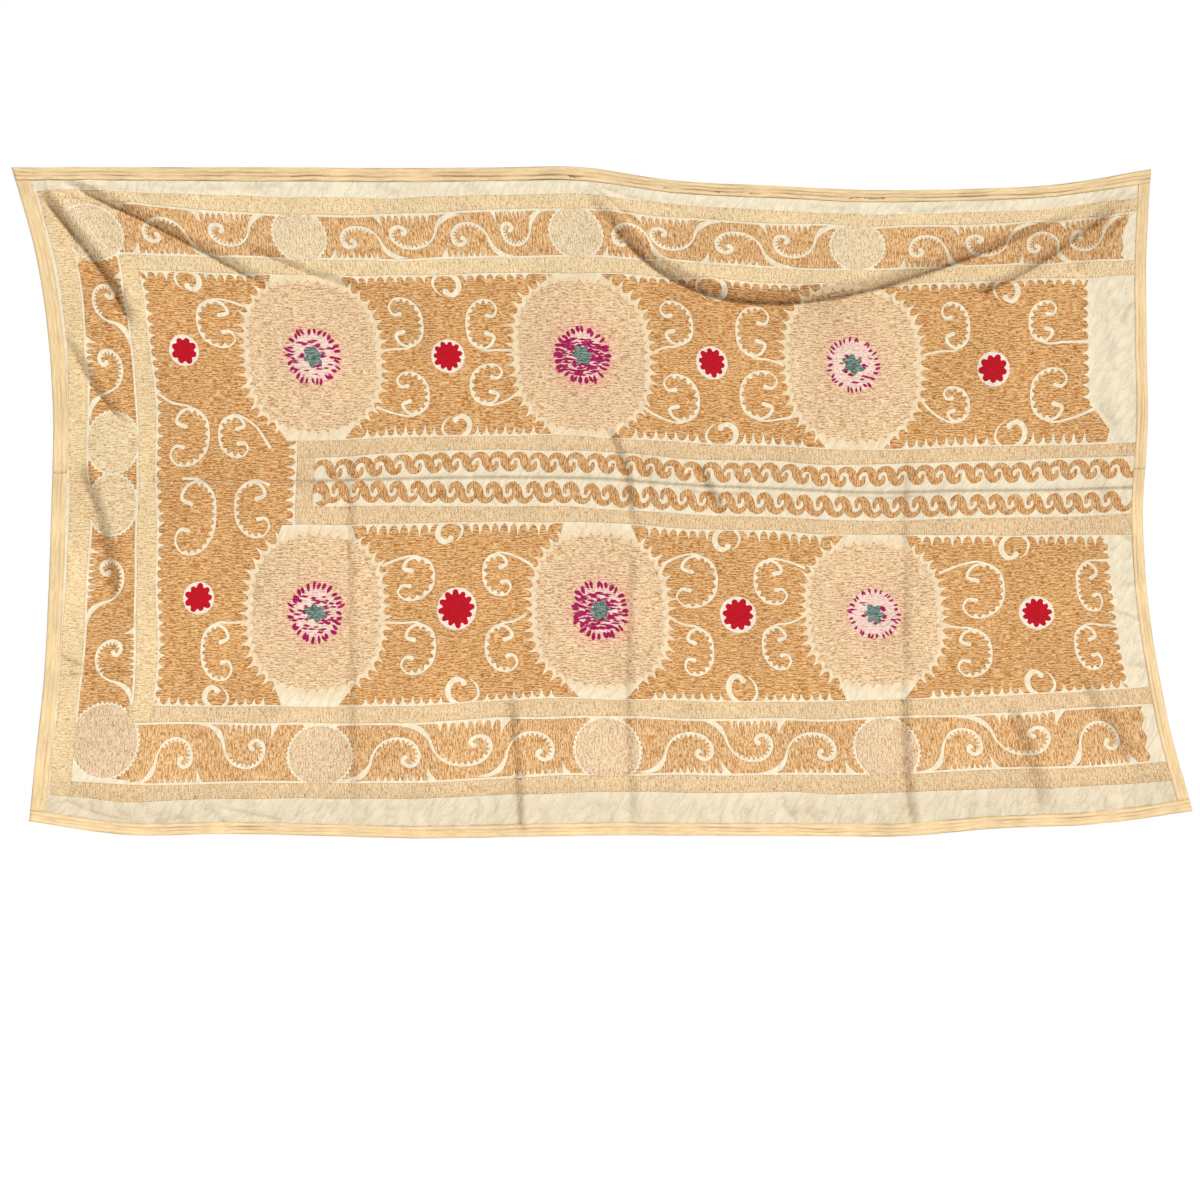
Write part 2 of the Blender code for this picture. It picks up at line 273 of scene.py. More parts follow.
# How far a fold and a crease reach, in half widths, and the share of its length in which it fades.
FOLD_REACH, FOLD_FADE = 4.5, 0.16
CREASE_REACH, CREASE_FADE = 3.5, 0.22


def fold_height(s, t, points, half_width, height):
    """One fold: a ridge on one side of its line and a trough on the other."""
    found = np.zeros(len(s))
    which, off, q = beside(s, t, points, FOLD_REACH * half_width)
    d = off / half_width
    ends = np.minimum(1, np.minimum(q, 1 - q) / FOLD_FADE)
    found[which] = -height * ends**2 * (3 - 2 * ends) * d * np.exp((1 - d**2) / 2)
    return found


def depth(s, t):
    """How far the cloth stands out towards the front."""
    out = RIPPLE * np.sin(9 * s + 4 * t) * np.sin(11 * t - 3 * s + 1)
    for points, half_width, height in FOLDS:
        out = out + fold_height(s, t, points, TIGHTER * half_width, LOWER * height)
    for s0, t0, reach_s, reach_t, height in SWELLS:
        out = out + height * np.exp(-(((s - s0) / reach_s) ** 2) - ((t - t0) / reach_t) ** 2)
    return out


def hang(s, t):
    """Where the point (s, t) of the flat cloth hangs."""
    s, t = np.asarray(s, float), np.asarray(t, float)
    u, v = s / WIDTH, t / HEIGHT
    left = spline(np.linspace(0, 1, 9), LEFT_EDGE, v)
    right = spline(np.linspace(0, 1, 9), RIGHT_EDGE, v)
    rows = np.array([spline(np.linspace(0, 1, 13), offsets, u) for _, offsets in LEVELS])
    shares = np.array([share for share, _ in LEVELS])
    slopes = np.gradient(rows, shares, axis=0)
    _, i, step, q = placed(shares, v)
    n = np.arange(len(s))
    lift = between(q, step, rows[i, n], rows[i + 1, n], slopes[i, n], slopes[i + 1, n])
    return np.stack([left + (right - left) * u, -depth(s, t), lift / 1000 - DROP * v], 1)


def outward(s, t):
    """The direction that the front of the cloth faces."""
    e = 0.002
    down = hang(s, np.asarray(t) + e) - hang(s, np.asarray(t) - e)
    across = hang(np.asarray(s) + e, t) - hang(np.asarray(s) - e, t)
    normal = np.cross(down, across)
    return normal / np.linalg.norm(normal, axis=1)[:, None]


def uneven(s, t, size, seed):
    """Soft random waves between about -1 and 1, of this size in metres, the same ones each time."""
    draw = np.random.default_rng(seed)
    total = np.zeros(np.broadcast(s, t).shape)
    for _ in range(7):
        way, phase = draw.uniform(0, 2 * np.pi, 2)
        pitch = size * draw.uniform(0.7, 1.5)
        total = total + np.sin(2 * np.pi * (s * np.cos(way) + t * np.sin(way)) / pitch + phase)
    return total / 3.2


def ease(x, start, stop):
    """0 before start, 1 after stop, smooth between them."""
    q = np.clip((x - start) / (stop - start), 0, 1)
    return q * q * (3 - 2 * q)


def small_creases():
    """The little creases in the plain cotton: points, half width, depth. They are the same each time."""
    draw = np.random.default_rng(13)
    found = []
    for s0, s1, t0, t1, count, least, most in PLAIN_COTTON:
        for _ in range(count):
            s, t = draw.uniform(s0, s1), draw.uniform(t0, t1)
            slant, long, bend = draw.uniform(least, most), draw.uniform(0.02, 0.06), draw.uniform(-0.3, 0.3)
            way = np.array([np.cos(slant), np.sin(slant)]) * long
            middle = (s - way[1] * bend, t + way[0] * bend)
            points = ((s - way[0], t - way[1]), middle, (s + way[0], t + way[1]))
            found.append((points, draw.uniform(0.005, 0.010), draw.uniform(-0.0028, 0.0036)))
    return found


SMALL_CREASES = small_creases()


def creased(s, t, points, half_width, deep, aside=0.0):
    """A narrow trough with a sharp bottom along a line or at one side of it, 0 to deep."""
    found = np.zeros(len(s))
    which, off, q = beside(s, t, points, CREASE_REACH * half_width + abs(aside))
    fade = ease(np.minimum(q, 1 - q), 0, CREASE_FADE)
    found[which] = deep * fade * np.exp(-(np.abs((off - aside) / half_width) ** 1.4))
    return found


# Where the embroidery passes into plain cotton, and how far the seam draws the cloth in and up.
BARE_HEAD, BARE_FOOT, BARE_END, BELOW_BORDER = (0.046, 0.066), (1.352, 1.372), (2.330, 2.360), (0.215, 0.245)
SEAM_TROUGH, SEAM_PUCKER = 0.0022, 0.0020


def wrinkles(s, t):
    """Small relief over the folds: sharp creases, creased plain cotton, and stitches drawn tight."""
    s, t = np.asarray(s, float), np.asarray(t, float)
    out = 0.0005 * uneven(s, t, 0.045, 3) + 0.0009 * uneven(s, t, 0.16, 4)
    for points, half_width, height in FOLDS:
        sharp = 0.0008 + 0.16 * height
        out = out - creased(s, t, points, 0.26 * half_width, sharp, 0.66 * half_width)
        out = out + creased(s, t, points, 0.30 * half_width, 0.5 * sharp, -0.66 * half_width)
    for points, half_width, deep in (*CREASES, *SMALL_CREASES):
        out = out - creased(s, t, points, half_width, deep)
    foot = ease(t, *BARE_FOOT)
    out = out + foot * 0.0024 * uneven(s * 1.3 + 0.25 * t, t * 0.55, 0.070, 5)
    head = 1 - ease(t, *BARE_HEAD)
    out = out + head * 0.0016 * uneven(s * 0.35, t * 1.8, 0.060, 7)
    end = ease(s, *BARE_END) * ease(t, *BELOW_BORDER)
    out = out + end * 0.0020 * uneven(s * 1.5, t * 0.4 + 0.3 * s, 0.070, 9)
    off = np.abs(t - SEAM)
    out = out - SEAM_TROUGH * np.exp(-((off / 0.004) ** 2))
    out = out + SEAM_PUCKER * np.exp(-off / 0.022) * uneven(s, 0.3 * t, 0.034, 11)
    return out


FOLD_SHADE = (
    # painted shade beside each fold: its width, depth and place beside the line, in shares of the fold's:
    # broad, narrow, a fine line
    (1.7, 0.75, 0.55),
    (0.50, 0.50, 0.50),
    (0.14, 0.9, 0.66),
)


def painted_shade_and_darkening(s, t):
    """How much darker the cloth is painted: painted shade along the folds and creases, a soft band and a thin
    line darker along the seam, and darker towards the foot and at the right end.
    """
    dark = 0.0 * s
    # Painted shade beside each fold: a broad band, a narrow one and a fine dark line.
    for points, half_width, height in FOLDS:
        deep = np.clip(14 * height, 0.12, 0.20)
        for wide, share, aside in FOLD_SHADE:
            dark = dark + creased(s, t, points, wide * half_width, share * deep, aside * half_width)
    # Painted shade along the sharp creases and the small creases of the plain cotton.
    for points, half_width, deep in CREASES:
        dark = dark + creased(s, t, points, 0.6 * half_width, 130 * deep)
    for points, half_width, deep in SMALL_CREASES:
        dark = dark + creased(s, t, points, 0.5 * half_width, max(0.0, 60 * deep))
    # Darker towards the foot, in a soft band about the seam and at the right end, and in a thin line along
    # the seam that is fainter at the left.
    dark = dark + 0.15 * ease(t, 1.30, 1.38) + 0.07 * np.exp(-(((t - SEAM) / 0.10) ** 2))
    dark = dark + 0.05 * ease(s, 2.31, 2.35)
    return dark + (0.12 + 0.43 * ease(s, 0.50, 0.60)) * np.exp(-((t - SEAM) / 0.0022) ** 2)


# --------------------------------------------------------------------
# The embroidery's layout, drawn flat in millimetres before it is worked. The ground is plain
# cotton. Tan, cream, red and pink fillings stand on it, and the bare lines left between them draw
# the curls, the vines and the teeth of the rosettes.
TAN, BORDER_TAN, WAVE_TAN, CREAM, STRIPE, LOW_STRIPE, SIDE_STRIPE = range(7)
DISC, ROUNDEL, LOW_ROUNDEL, SIDE_ROUNDEL, RED, PINK, MAGENTA, TEAL, COTTON = range(7, 16)
BARE, RIM, FILLED = range(3)
LEFT_FIELD, RIGHT_FIELD = 216, 2322
BAND_START = 547
CLOTH_END = 2428
STRIPES = (
    # name, places along it, its upper (or left) edge there, its lower (or right) edge there
    ("top_outer", (38, 90, 180, 390, 1200, CLOTH_END), (54, 50, 52, 59, 58, 58), (72, 69, 73, 91, 88, 88)),
    ("top_inner", (189, 1300, CLOTH_END), (195, 195, 195), (227, 228, 228)),
    ("centre_upper", (BAND_START, 800, 1500, CLOTH_END), (587, 585, 585, 577), (626, 617, 617, 603)),
    ("centre_lower", (BAND_START, 800, 1815, CLOTH_END), (726, 733, 738, 734), (766, 769, 769, 780)),
    ("bottom_inner", (189, 1300, CLOTH_END), (1150, 1149, 1149), (1186, 1185, 1185)),
    ("bottom_outer", (38, 700, 2180, CLOTH_END), (1331, 1320, 1315, 1323), (1369, 1355, 1356, 1365)),
    ("left_outer", (52, 360, 560, 770, 920, 1140, 1368), (38, 39, 34, 40, 36, 34, 36),
        (84, 80, 74, 86, 83, 78, 80)),
    ("left_inner", (196, 360, 540, 920, 1116, 1185), (182, 185, 191, 196, 200, 196),
        (218, 223, 229, 241, 245, 240)),
)
ROSETTES = (
    # s, t, how much magenta is worked into its heart
    (587, 404, 34),
    (1188, 407, 185),
    (1794, 402, 9),
    (596, 950, 50),
    (1229, 957, 140),
    (1839, 952, 6),
)
FLOWERS = (
    # s, t, radius of its white disc, number of petals
    (301, 397, 31, 8),
    (888, 407, 35, 11),
    (1478, 412, 33, 10),
    (2108, 419, 34, 9),
    (335, 918, 32, 9),
    (910, 950, 42, 12),
    (1536, 955, 38, 10),
    (2201, 959, 37, 11),
)
ROUNDELS = (
    # s, t, half width, half height, thread
    (136, 145, 62, 60, ROUNDEL),
    (589, 143, 55, 54, ROUNDEL),
    (1197, 141, 55, 53, ROUNDEL),
    (1814, 138, 56, 54, ROUNDEL),
    (143, 1232, 71, 82, LOW_ROUNDEL),
    (612, 1259, 66, 66, LOW_ROUNDEL),
    (1234, 1257, 68, 66, LOW_ROUNDEL),
    (1837, 1255, 66, 66, LOW_ROUNDEL),
    (134, 591, 56, 62, SIDE_ROUNDEL),
    (136, 721, 53, 62, SIDE_ROUNDEL),
)
CURLS = (
    # s, t, width, height, where the stem ends
    (378, 338, 85, 100, (455, 302)),
    (305, 580, 88, 122, (232, 486)),
    (405, 578, 68, 88, (487, 603)),
    (323, 750, 92, 156, (292, 666)),
    (452, 733, 80, 118, (488, 682)),
    (800, 330, 74, 108, (742, 392)),
    (805, 487, 72, 94, (722, 516)),
    (970, 338, 72, 108, (1034, 397)),
    (972, 470, 74, 88, (1046, 486)),
    (1403, 330, 72, 94, (1342, 400)),
    (1406, 490, 80, 98, (1312, 510)),
    (1574, 338, 76, 108, (1640, 408)),
    (1582, 474, 86, 102, (1676, 512)),
    (2026, 324, 62, 100, (1950, 386)),
    (2022, 490, 58, 72, (1934, 468)),
    (2222, 320, 62, 86, (2326, 366)),
    (2232, 472, 84, 106, (2332, 504)),
    (818, 884, 84, 88, (742, 856)),
    (823, 1030, 78, 104, (748, 972)),
    (1001, 882, 64, 88, (1082, 864)),
    (1009, 1038, 72, 98, (1066, 966)),
    (1445, 885, 94, 114, (1368, 852)),
    (1444, 1040, 66, 104, (1378, 962)),
    (1612, 882, 74, 98, (1690, 848)),
    (1618, 1028, 62, 96, (1686, 954)),
    (2085, 903, 98, 126, (1990, 860)),
    (2053, 1047, 80, 108, (1984, 974)),
    (2324, 903, 54, 118, (2380, 838)),
    (2306, 1048, 56, 104, (2388, 1002)),
    (379, 1034, 70, 120, (440, 968)),
)
HOOKS = {
    # the stripe that they grow from: s, width and height of each
    "top_inner": ((324, 56, 40), (896, 60, 46), (1484, 66, 46), (2140, 54, 50)),
    "centre_upper": ((900, 64, 46), (1494, 70, 46), (2142, 70, 52)),
    "centre_lower": ((896, 58, 42), (1517, 58, 46), (2164, 64, 54)),
    "bottom_inner": ((382, 54, 44), (924, 70, 54), (1538, 64, 60), (2193, 62, 54)),
}
ARCH, BOWL = range(2)
VINES = {
    # border: kind of bend, where its body starts and ends
    "top": (
        (ARCH, 248, 340), (BOWL, 394, 478), (ARCH, 680, 764), (BOWL, 790, 886), (ARCH, 924, 1002),
        (BOWL, 1036, 1096), (ARCH, 1278, 1356), (BOWL, 1362, 1455), (ARCH, 1504, 1602),
        (BOWL, 1632, 1718), (ARCH, 1930, 2006), (BOWL, 2054, 2146), (ARCH, 2190, 2254),
        (BOWL, 2284, 2352),
    ),
    "bottom": (
        (ARCH, 260, 334), (BOWL, 406, 490), (ARCH, 726, 826), (BOWL, 858, 982), (ARCH, 1018, 1116),
        (ARCH, 1362, 1460), (BOWL, 1496, 1590), (ARCH, 1624, 1726), (ARCH, 1960, 2042),
        (BOWL, 2076, 2190), (ARCH, 2256, 2336),
    ),
    "left": ((ARCH, 262, 338), (BOWL, 400, 486), (BOWL, 838, 924), (ARCH, 1010, 1096)),
}
RIM_WIDTH = 1.0
LONGEST_EDGE = 14
hand = np.random.default_rng(21)


def edge_of(name, side, along):
    """Where a stripe's upper or left edge (0), or its lower or right one (1), runs at these places."""
    places, first, second = next(row[1:] for row in STRIPES if row[0] == name)
    sway = 1.6 * uneven(np.asarray(along, float) / 1000, 0, 0.16, len(name) + side)
    return spline(places, (first, second)[side], np.asarray(along, float)) + sway


def even(start, stop, longest):
    """Even steps from start to stop, none over the longest."""
    return np.linspace(start, stop, max(2, int(np.ceil(abs(stop - start) / longest)) + 1))


def evened(outline):
    """The outline with its long edges divided and its doubled points left out."""
    outline = np.asarray(outline, float)
    found = []
    for a, b in zip(outline, np.roll(outline, -1, axis=0)):
        length = np.hypot(*(b - a))
        if length < 0.15:
            continue
        parts = max(1, int(np.ceil(length / LONGEST_EDGE)))
        found += [a + (b - a) * i / parts for i in range(parts)]
    return np.array(found)


def grown(outline, by):
    """The outline moved out by this much, or in where it is negative."""
    nxt, prev = np.roll(outline, -1, axis=0), np.roll(outline, 1, axis=0)
    turn = (outline[:, 0] * nxt[:, 1] - nxt[:, 0] * outline[:, 1]).sum()
    ahead, behind = nxt - outline, outline - prev
    ahead /= np.maximum(np.linalg.norm(ahead, axis=1), 1e-9)[:, None]
    behind /= np.maximum(np.linalg.norm(behind, axis=1), 1e-9)[:, None]
    first = np.stack([ahead[:, 1], -ahead[:, 0]], 1) * np.sign(turn)
    second = np.stack([behind[:, 1], -behind[:, 0]], 1) * np.sign(turn)
    lean = np.maximum(1 + (first * second).sum(axis=1), 0.45)
    return outline + (first + second) / lean[:, None] * by


def flowing(points, step=6.0):
    """A smooth line through the points, in even steps of about this length."""
    points = np.asarray(points, float)
    knots = np.concatenate([[0], np.cumsum(np.linalg.norm(np.diff(points, axis=0), axis=1))])
    x = even(0, knots[-1], step)
    return np.stack([spline(knots, points[:, 0], x), spline(knots, points[:, 1], x)], 1)


def ribbon(line, widths, teeth=None, side=1, count=0):
    """The outline of a line as wide as the widths say, with teeth along one side of it.
    teeth is (first share, last share, length)."""
    run = np.concatenate([[0], np.cumsum(np.linalg.norm(np.diff(line, axis=0), axis=1))])
    share = run / run[-1]
    slope = np.gradient(line, axis=0)
    slope /= np.maximum(np.linalg.norm(slope, axis=1), 1e-9)[:, None]
    normal = np.stack([-slope[:, 1], slope[:, 0]], 1)
    half = np.interp(share, np.linspace(0, 1, len(widths)), widths) / 2

    def at(q, out, way):
        x = np.interp(q, share, line[:, 0]) + way * out * np.interp(q, share, normal[:, 0])
        y = np.interp(q, share, line[:, 1]) + way * out * np.interp(q, share, normal[:, 1])
        return x, y

    plain = [at(q, h, -side) for q, h in zip(share, half)]
    marks = [(q, h) for q, h in zip(share, half)]
    if teeth is not None:
        first, last, length = teeth
        pitch = (last - first) / count
        marks = [(q, h) for q, h in marks if not first < q < last]
        for i in range(count):
            q = first + (i + 0.5) * pitch
            h = np.interp(q, share, half)
            long = length * hand.uniform(0.8, 1.15)
            marks += [(q - 0.40 * pitch, h), (q, h + long), (q + 0.40 * pitch, h)]
        marks.sort()
    toothed = [at(q, h, side) for q, h in marks]
    return np.array(toothed + plain[::-1])


def rounded(s, t, across, down=None, count=18, wave=0.0, lobes=0):
    """A disc or an oval, with a scalloped edge where it has lobes."""
    angle = np.linspace(0, 2 * np.pi, count, endpoint=False)
    reach = 1 + wave * np.abs(np.sin(angle * lobes / 2)) if lobes else np.ones(count)
    return np.stack([s + across * reach * np.cos(angle), t + (down or across) * reach * np.sin(angle)], 1)


# A tooth's points: share of the pitch, share of the tooth's length.
TOOTH = ((0, 0), (0.30, 0.24), (0.5, 1), (0.70, 0.24))


def toothed_run(place, start, stop, pitch, length, sharp=1.0):
    """The points of a run of cotton teeth. place(x, d) is the spot at x along the edge and d into
    the filling; each tooth is drawn in towards its tip, so that the filling between is rounded."""
    found = []
    marks = np.linspace(start, stop, max(1, round(abs(stop - start) / pitch)) + 1)
    for a, b in zip(marks, marks[1:]):
        lean = hand.uniform(-0.16, 0.16)
        long = length * hand.uniform(0.72, 1.18)
        for share, rise in TOOTH:
            at = a + (share + lean * rise * sharp) * (b - a)
            found.append(place(at, rise * long))
    found.append(place(stop, 0))
    return found


class Layout:
    """The shapes in the order in which they are laid on the cloth."""

    def __init__(self):
        self.fillings, self.bare, self.laid_over = [], [], []

    def fill(self, outline, thread, over=True, rim=RIM_WIDTH):
        """A filling inside a darker rim. It lies over the bare lines, or else under them."""
        outline = evened(outline)
        shapes = self.laid_over if over else self.fillings
        if rim:
            shapes.append((outline, RIM, thread))
            outline = grown(outline, -rim)
        shapes.append((outline, FILLED, thread))

    def leave(self, outline):
        """Bare cotton left open in the fillings."""
        self.bare.append(evened(outline))

    def shapes(self):
        """Every outline with its kind and thread, the lowest first. None is the thread beneath."""
        edges = [(grown(outline, RIM_WIDTH), RIM, None) for outline in self.bare]
        holes = [(outline, BARE, COTTON) for outline in self.bare]
        return self.fillings + edges + holes + self.laid_over


layout = Layout()


def strip_between(first, second, start, stop):
    """A band between two edges, each a function of the place along it."""
    along = even(start, stop, LONGEST_EDGE)
    return np.concatenate([
        np.stack([along, first(along)], 1), np.stack([along[::-1], second(along[::-1])], 1)
    ])


def under(name, gap):
    """The lower or right edge of a stripe, and a bare gap past it."""
    return lambda x: edge_of(name, 1, x) + gap


def above(name, gap):
    """The upper or left edge of a stripe, and a bare gap before it."""
    return lambda x: edge_of(name, 0, x) - gap


# The two long tan fields join in front of the centre band, and the tan borders run round them.
BARE_LINE, BORDER_LINE = 3, 5
MIDDLE = 700
LOWER_RIGHT = 2378
FIELDS = (
    # the stripe above, the stripe below, from, to
    ("top_inner", "centre_upper", BAND_START, RIGHT_FIELD),
    ("centre_lower", "bottom_inner", BAND_START, LOWER_RIGHT),
    ("top_inner", "bottom_inner", LEFT_FIELD, BAND_START + 2),
)
for top, bottom, start, stop in FIELDS:
    field = strip_between(under(top, BARE_LINE), above(bottom, BARE_LINE), start, stop)
    layout.fill(field, TAN, over=False)

# The upper field ends in a slant at its lower right corner, and both long borders in a wavy line.
layout.fill([(2316, 492), (2332, 504), (2366, 548), (2360, 573), (2316, 574)], TAN, over=False)
for top, bottom, stop in (("top_outer", "top_inner", 2408), ("bottom_inner", "bottom_outer", 2404)):
    border = strip_between(under(top, BORDER_LINE), above(bottom, BORDER_LINE), 92, stop)
    layout.fill(border, BORDER_TAN, over=False)
layout.leave([(2414, 100), (2402, 116), (2395, 142), (2400, 166), (2394, 180), (2404, 192), (2414, 192)])
layout.leave([
    (2412, 1184), (2396, 1198), (2402, 1218), (2391, 1240), (2399, 1262), (2389, 1286), (2396, 1306),
    (2386, 1322), (2412, 1322),
])
border = strip_between(under("left_outer", BORDER_LINE), above("left_inner", BORDER_LINE), 100, 1325)
layout.fill(border[:, ::-1], TAN, over=False)

# The borders have no tan outside the two corner roundels: one corner is filled, the other bare.
layout.fill([(74, 66), (232, 66), (196, 112), (112, 196), (74, 232)], STRIPE, over=False)
layout.leave([(76, 1256), (92, 1268), (112, 1300), (150, 1314), (206, 1318), (200, 1340), (76, 1340)])

# Bare teeth run along every edge of the fields, apart from where a rosette or a hook meets it.
ROSETTE_ROOM = 104


def edge_teeth(name, side, pitch, length, start, stop):
    """Teeth from a stripe's edge into the field, in the stretches between rosettes and hooks."""
    way = 1 if side else -1
    near = ROSETTES[:3] if name in ("top_inner", "centre_upper") else ROSETTES[3:]
    stops = [(s - ROSETTE_ROOM, s + ROSETTE_ROOM) for s, _, _ in near]
    stops += [(s - width / 2 - 6, s + width / 2 + 6) for s, width, _ in HOOKS[name]]
    at = start
    for low, high in [*sorted(stops), (stop, stop)]:
        if low - at > pitch:
            place = lambda x, d: (x, edge_of(name, side, x) + way * (BARE_LINE + d))
            run = toothed_run(place, at, low, pitch, length)
            back = [(x, edge_of(name, side, x) - way * 4) for x in even(low, at, LONGEST_EDGE)]
            layout.leave([*run, *back])
        at = high


edge_teeth("top_inner", 1, 21, 17, LEFT_FIELD + 8, RIGHT_FIELD)
edge_teeth("centre_upper", 0, 22, 23, BAND_START + 30, RIGHT_FIELD)
edge_teeth("centre_lower", 1, 22, 24, BAND_START + 40, 2376)
edge_teeth("bottom_inner", 0, 21, 18, LEFT_FIELD + 8, 2376)


def side_teeth(edge, start, stop, pitch, length, way, back):
    """Teeth from an upright edge: edge is a function of t, and way is 1 where they point right."""
    run = toothed_run(lambda x, d: (edge(x) + way * d, x), start, stop, pitch, length)
    layout.leave([*run, (edge(stop) - way * back, stop), (edge(start) - way * back, start)])


side_teeth(lambda x: edge_of("left_inner", 1, x) + BARE_LINE, 240, 1146, 23, 14, 1, 5)
side_teeth(lambda x: BAND_START - 3 + 0 * x, 588, 768, 23, 22, -1, 12)
side_teeth(lambda x: RIGHT_FIELD + 0 * x, 240, 490, 23, 15, -1, 8)
side_teeth(lambda x: 2372 + 0.02 * (x - 780), 784, 1146, 24, 15, -1, 8)

# Each rosette stands in a bare toothed ring, which opens above and below it towards the stripes.
TOOTH_COUNT = 47
RING, DISC_EDGE = 151, 138
NECK_OUT, NECK_HALF = 148, 90


def rosette_edge(s, t, base, taller, x, d):
    """A spot on a rosette's edge at the angle x and d out from it; it is taller than it is wide."""
    reach = base + taller * np.sin(x) ** 2 + 12 * np.sin(2 * x) ** 2 + d
    return s + reach * np.cos(x), t + reach * np.sin(x)


for s, t, _ in ROSETTES:
    ring = lambda x, d: rosette_edge(s, t, RING, 14, x, d)
    layout.leave(toothed_run(ring, 0, 2 * np.pi, 2 * np.pi / TOOTH_COUNT, 22)[:-1])
    top, bottom = ("top_inner", "centre_upper") if t < MIDDLE else ("centre_lower", "bottom_inner")
    for edge, way in ((float(edge_of(top, 1, s)), -1), (float(edge_of(bottom, 0, s)), 1)):
        left, right, neck = s - hand.uniform(46, 80), s + hand.uniform(46, 80), t + way * NECK_OUT
        layout.leave([(left, edge), (s - NECK_HALF, neck), (s + NECK_HALF, neck), (right, edge)])

# The curls. Each is a bare line turned in at both ends, toothed on its hollow side, with a stem
# that ties it to the nearest rosette or edge. It opens on the side where the stem ends. The stem
# leaves from the curl's foot in the upper field above the centre band, and from its head elsewhere.
CURL = (
    # share of the width from the open side, share of the height from the end without the stem
    (0.34, 0.33), (0.16, 0.35), (0.03, 0.20), (0.20, 0.03), (0.58, 0.03), (0.91, 0.24), (1.00, 0.55),
    (0.90, 0.86), (0.58, 1.00), (0.27, 0.92), (0.17, 0.76), (0.40, 0.69),
)
CURL_WIDTHS = (9, 5.5, 4.2, 3.8, 4, 4.2, 4.2, 4.2, 4.8, 6, 7.5, 9.5)
for s, t, width, height, stem_end in CURLS:
    across = 1 if stem_end[0] < s else -1
    down = 1 if t < MIDDLE and s > BAND_START else -1
    spot = lambda x, y: (s + across * (x - 0.5) * width, t + down * (y - 0.5) * height)
    line = flowing([spot(x, y) for x, y in CURL], 6.5)
    layout.leave(ribbon(line, CURL_WIDTHS, (0.20, 0.80, 8), across * down, max(6, round(height / 11))))
    for x, y in (CURL[0], CURL[-1]):
        layout.leave(rounded(*spot(x, y), 5.2, count=9))
    start, low = spot(0.93, 0.82), spot(0.52, 1.03)
    bend = ((low[0] + stem_end[0]) / 2, low[1] * 0.75 + stem_end[1] * 0.25)
    layout.leave(ribbon(flowing([start, low, bend, stem_end], 9), (3.5, 4.5, 5, 7)))

# Small hooks grow from the stripes between the rosettes: a thin horn and a thick one that face.
# The thick one stands on the right in the upper field and on the left in the lower one.
THIN_HORN = ((0.26, -0.05), (0.04, 0.32), (0.14, 0.76), (0.34, 0.98))
THICK_HORN = ((0.62, -0.05), (0.94, 0.24), (0.98, 0.66), (0.74, 0.97), (0.48, 0.86))
for stem, (s, width, height) in ((stem, hook) for stem, hooks in HOOKS.items() for hook in hooks):
    side = 1 if stem in ("top_inner", "centre_lower") else 0
    way = 1 if side else -1
    right = 1 if stem in ("top_inner", "centre_upper") else -1
    edge = float(edge_of(stem, side, s))
    spot = lambda x, y: (s + right * (x - 0.5) * width, edge + way * y * height)
    layout.leave(ribbon(flowing([spot(x, y) for x, y in THIN_HORN], 6), (9, 6.5, 4.5, 1.5)))
    layout.leave(ribbon(flowing([spot(x, y) for x, y in THICK_HORN], 6), (7, 11, 13, 12, 8)))
    layout.leave(rounded(*spot(0.49, 0.80), 7, count=9))

# The vine runs along each border. An arch's tail lies along the border's foot and a bowl's along its
# head, so that the tan between them winds from one side to the other. A thorn ends each row of teeth.
VINE_DEPTH = 135
VINE = (
    # from the body's middle, from the border's head, for a body 100 wide in a border VINE_DEPTH deep
    (-118, 135), (-94, 133), (-74, 123), (-58, 100), (-49, 70), (-29, 42), (3, 31), (35, 41), (51, 69),
    (45, 94), (27, 99), (14, 86), (21, 76),
)
VINE_WIDTHS = (1, 8, 13, 7, 5, 4.6, 4.6, 4.6, 5, 5.5, 7, 9, 10)
THORN = ((64, 142), (68, 128), (67, 100), (76, 120), (92, 142))
BESIDE_BORDER = {
    "top": ("top_outer", "top_inner"),
    "bottom": ("bottom_inner", "bottom_outer"),
    "left": ("left_outer", "left_inner"),
}
for border, (kind, start, stop) in ((border, bend) for border, bends in VINES.items() for bend in bends):
    middle, scale = (start + stop) / 2, (stop - start) / 100
    first, second = BESIDE_BORDER[border]
    head = float(edge_of(first, 1, middle)) + BORDER_LINE
    deep = float(edge_of(second, 0, middle)) - BORDER_LINE - head
    mirror = -1 if border in ("top", "left") else 1

    def spot(x, y):
        rise = y / VINE_DEPTH if kind == ARCH else 1 - y / VINE_DEPTH
        place = (middle + mirror * x * scale, head + rise * deep)
        return (place[1], place[0]) if border == "left" else place

    line = flowing([spot(x, y) for x, y in VINE], 7)
    inner = 1 if (kind == ARCH) == (mirror == 1) else -1
    if border == "left":
        inner = -inner
    layout.leave(ribbon(line, VINE_WIDTHS, (0.40, 0.88, 8), inner, 12))
    layout.leave(rounded(*spot(21, 78), 5.5, count=9))
    pitch, length = (15, 15) if kind == ARCH else (16, 21)
    run = toothed_run(lambda x, d: spot(x, 137 - d * VINE_DEPTH / deep), -46, 62, pitch, length)
    layout.leave([*run, spot(62, 145), spot(-46, 145)])
    layout.leave([spot(x, y) for x, y in THORN])

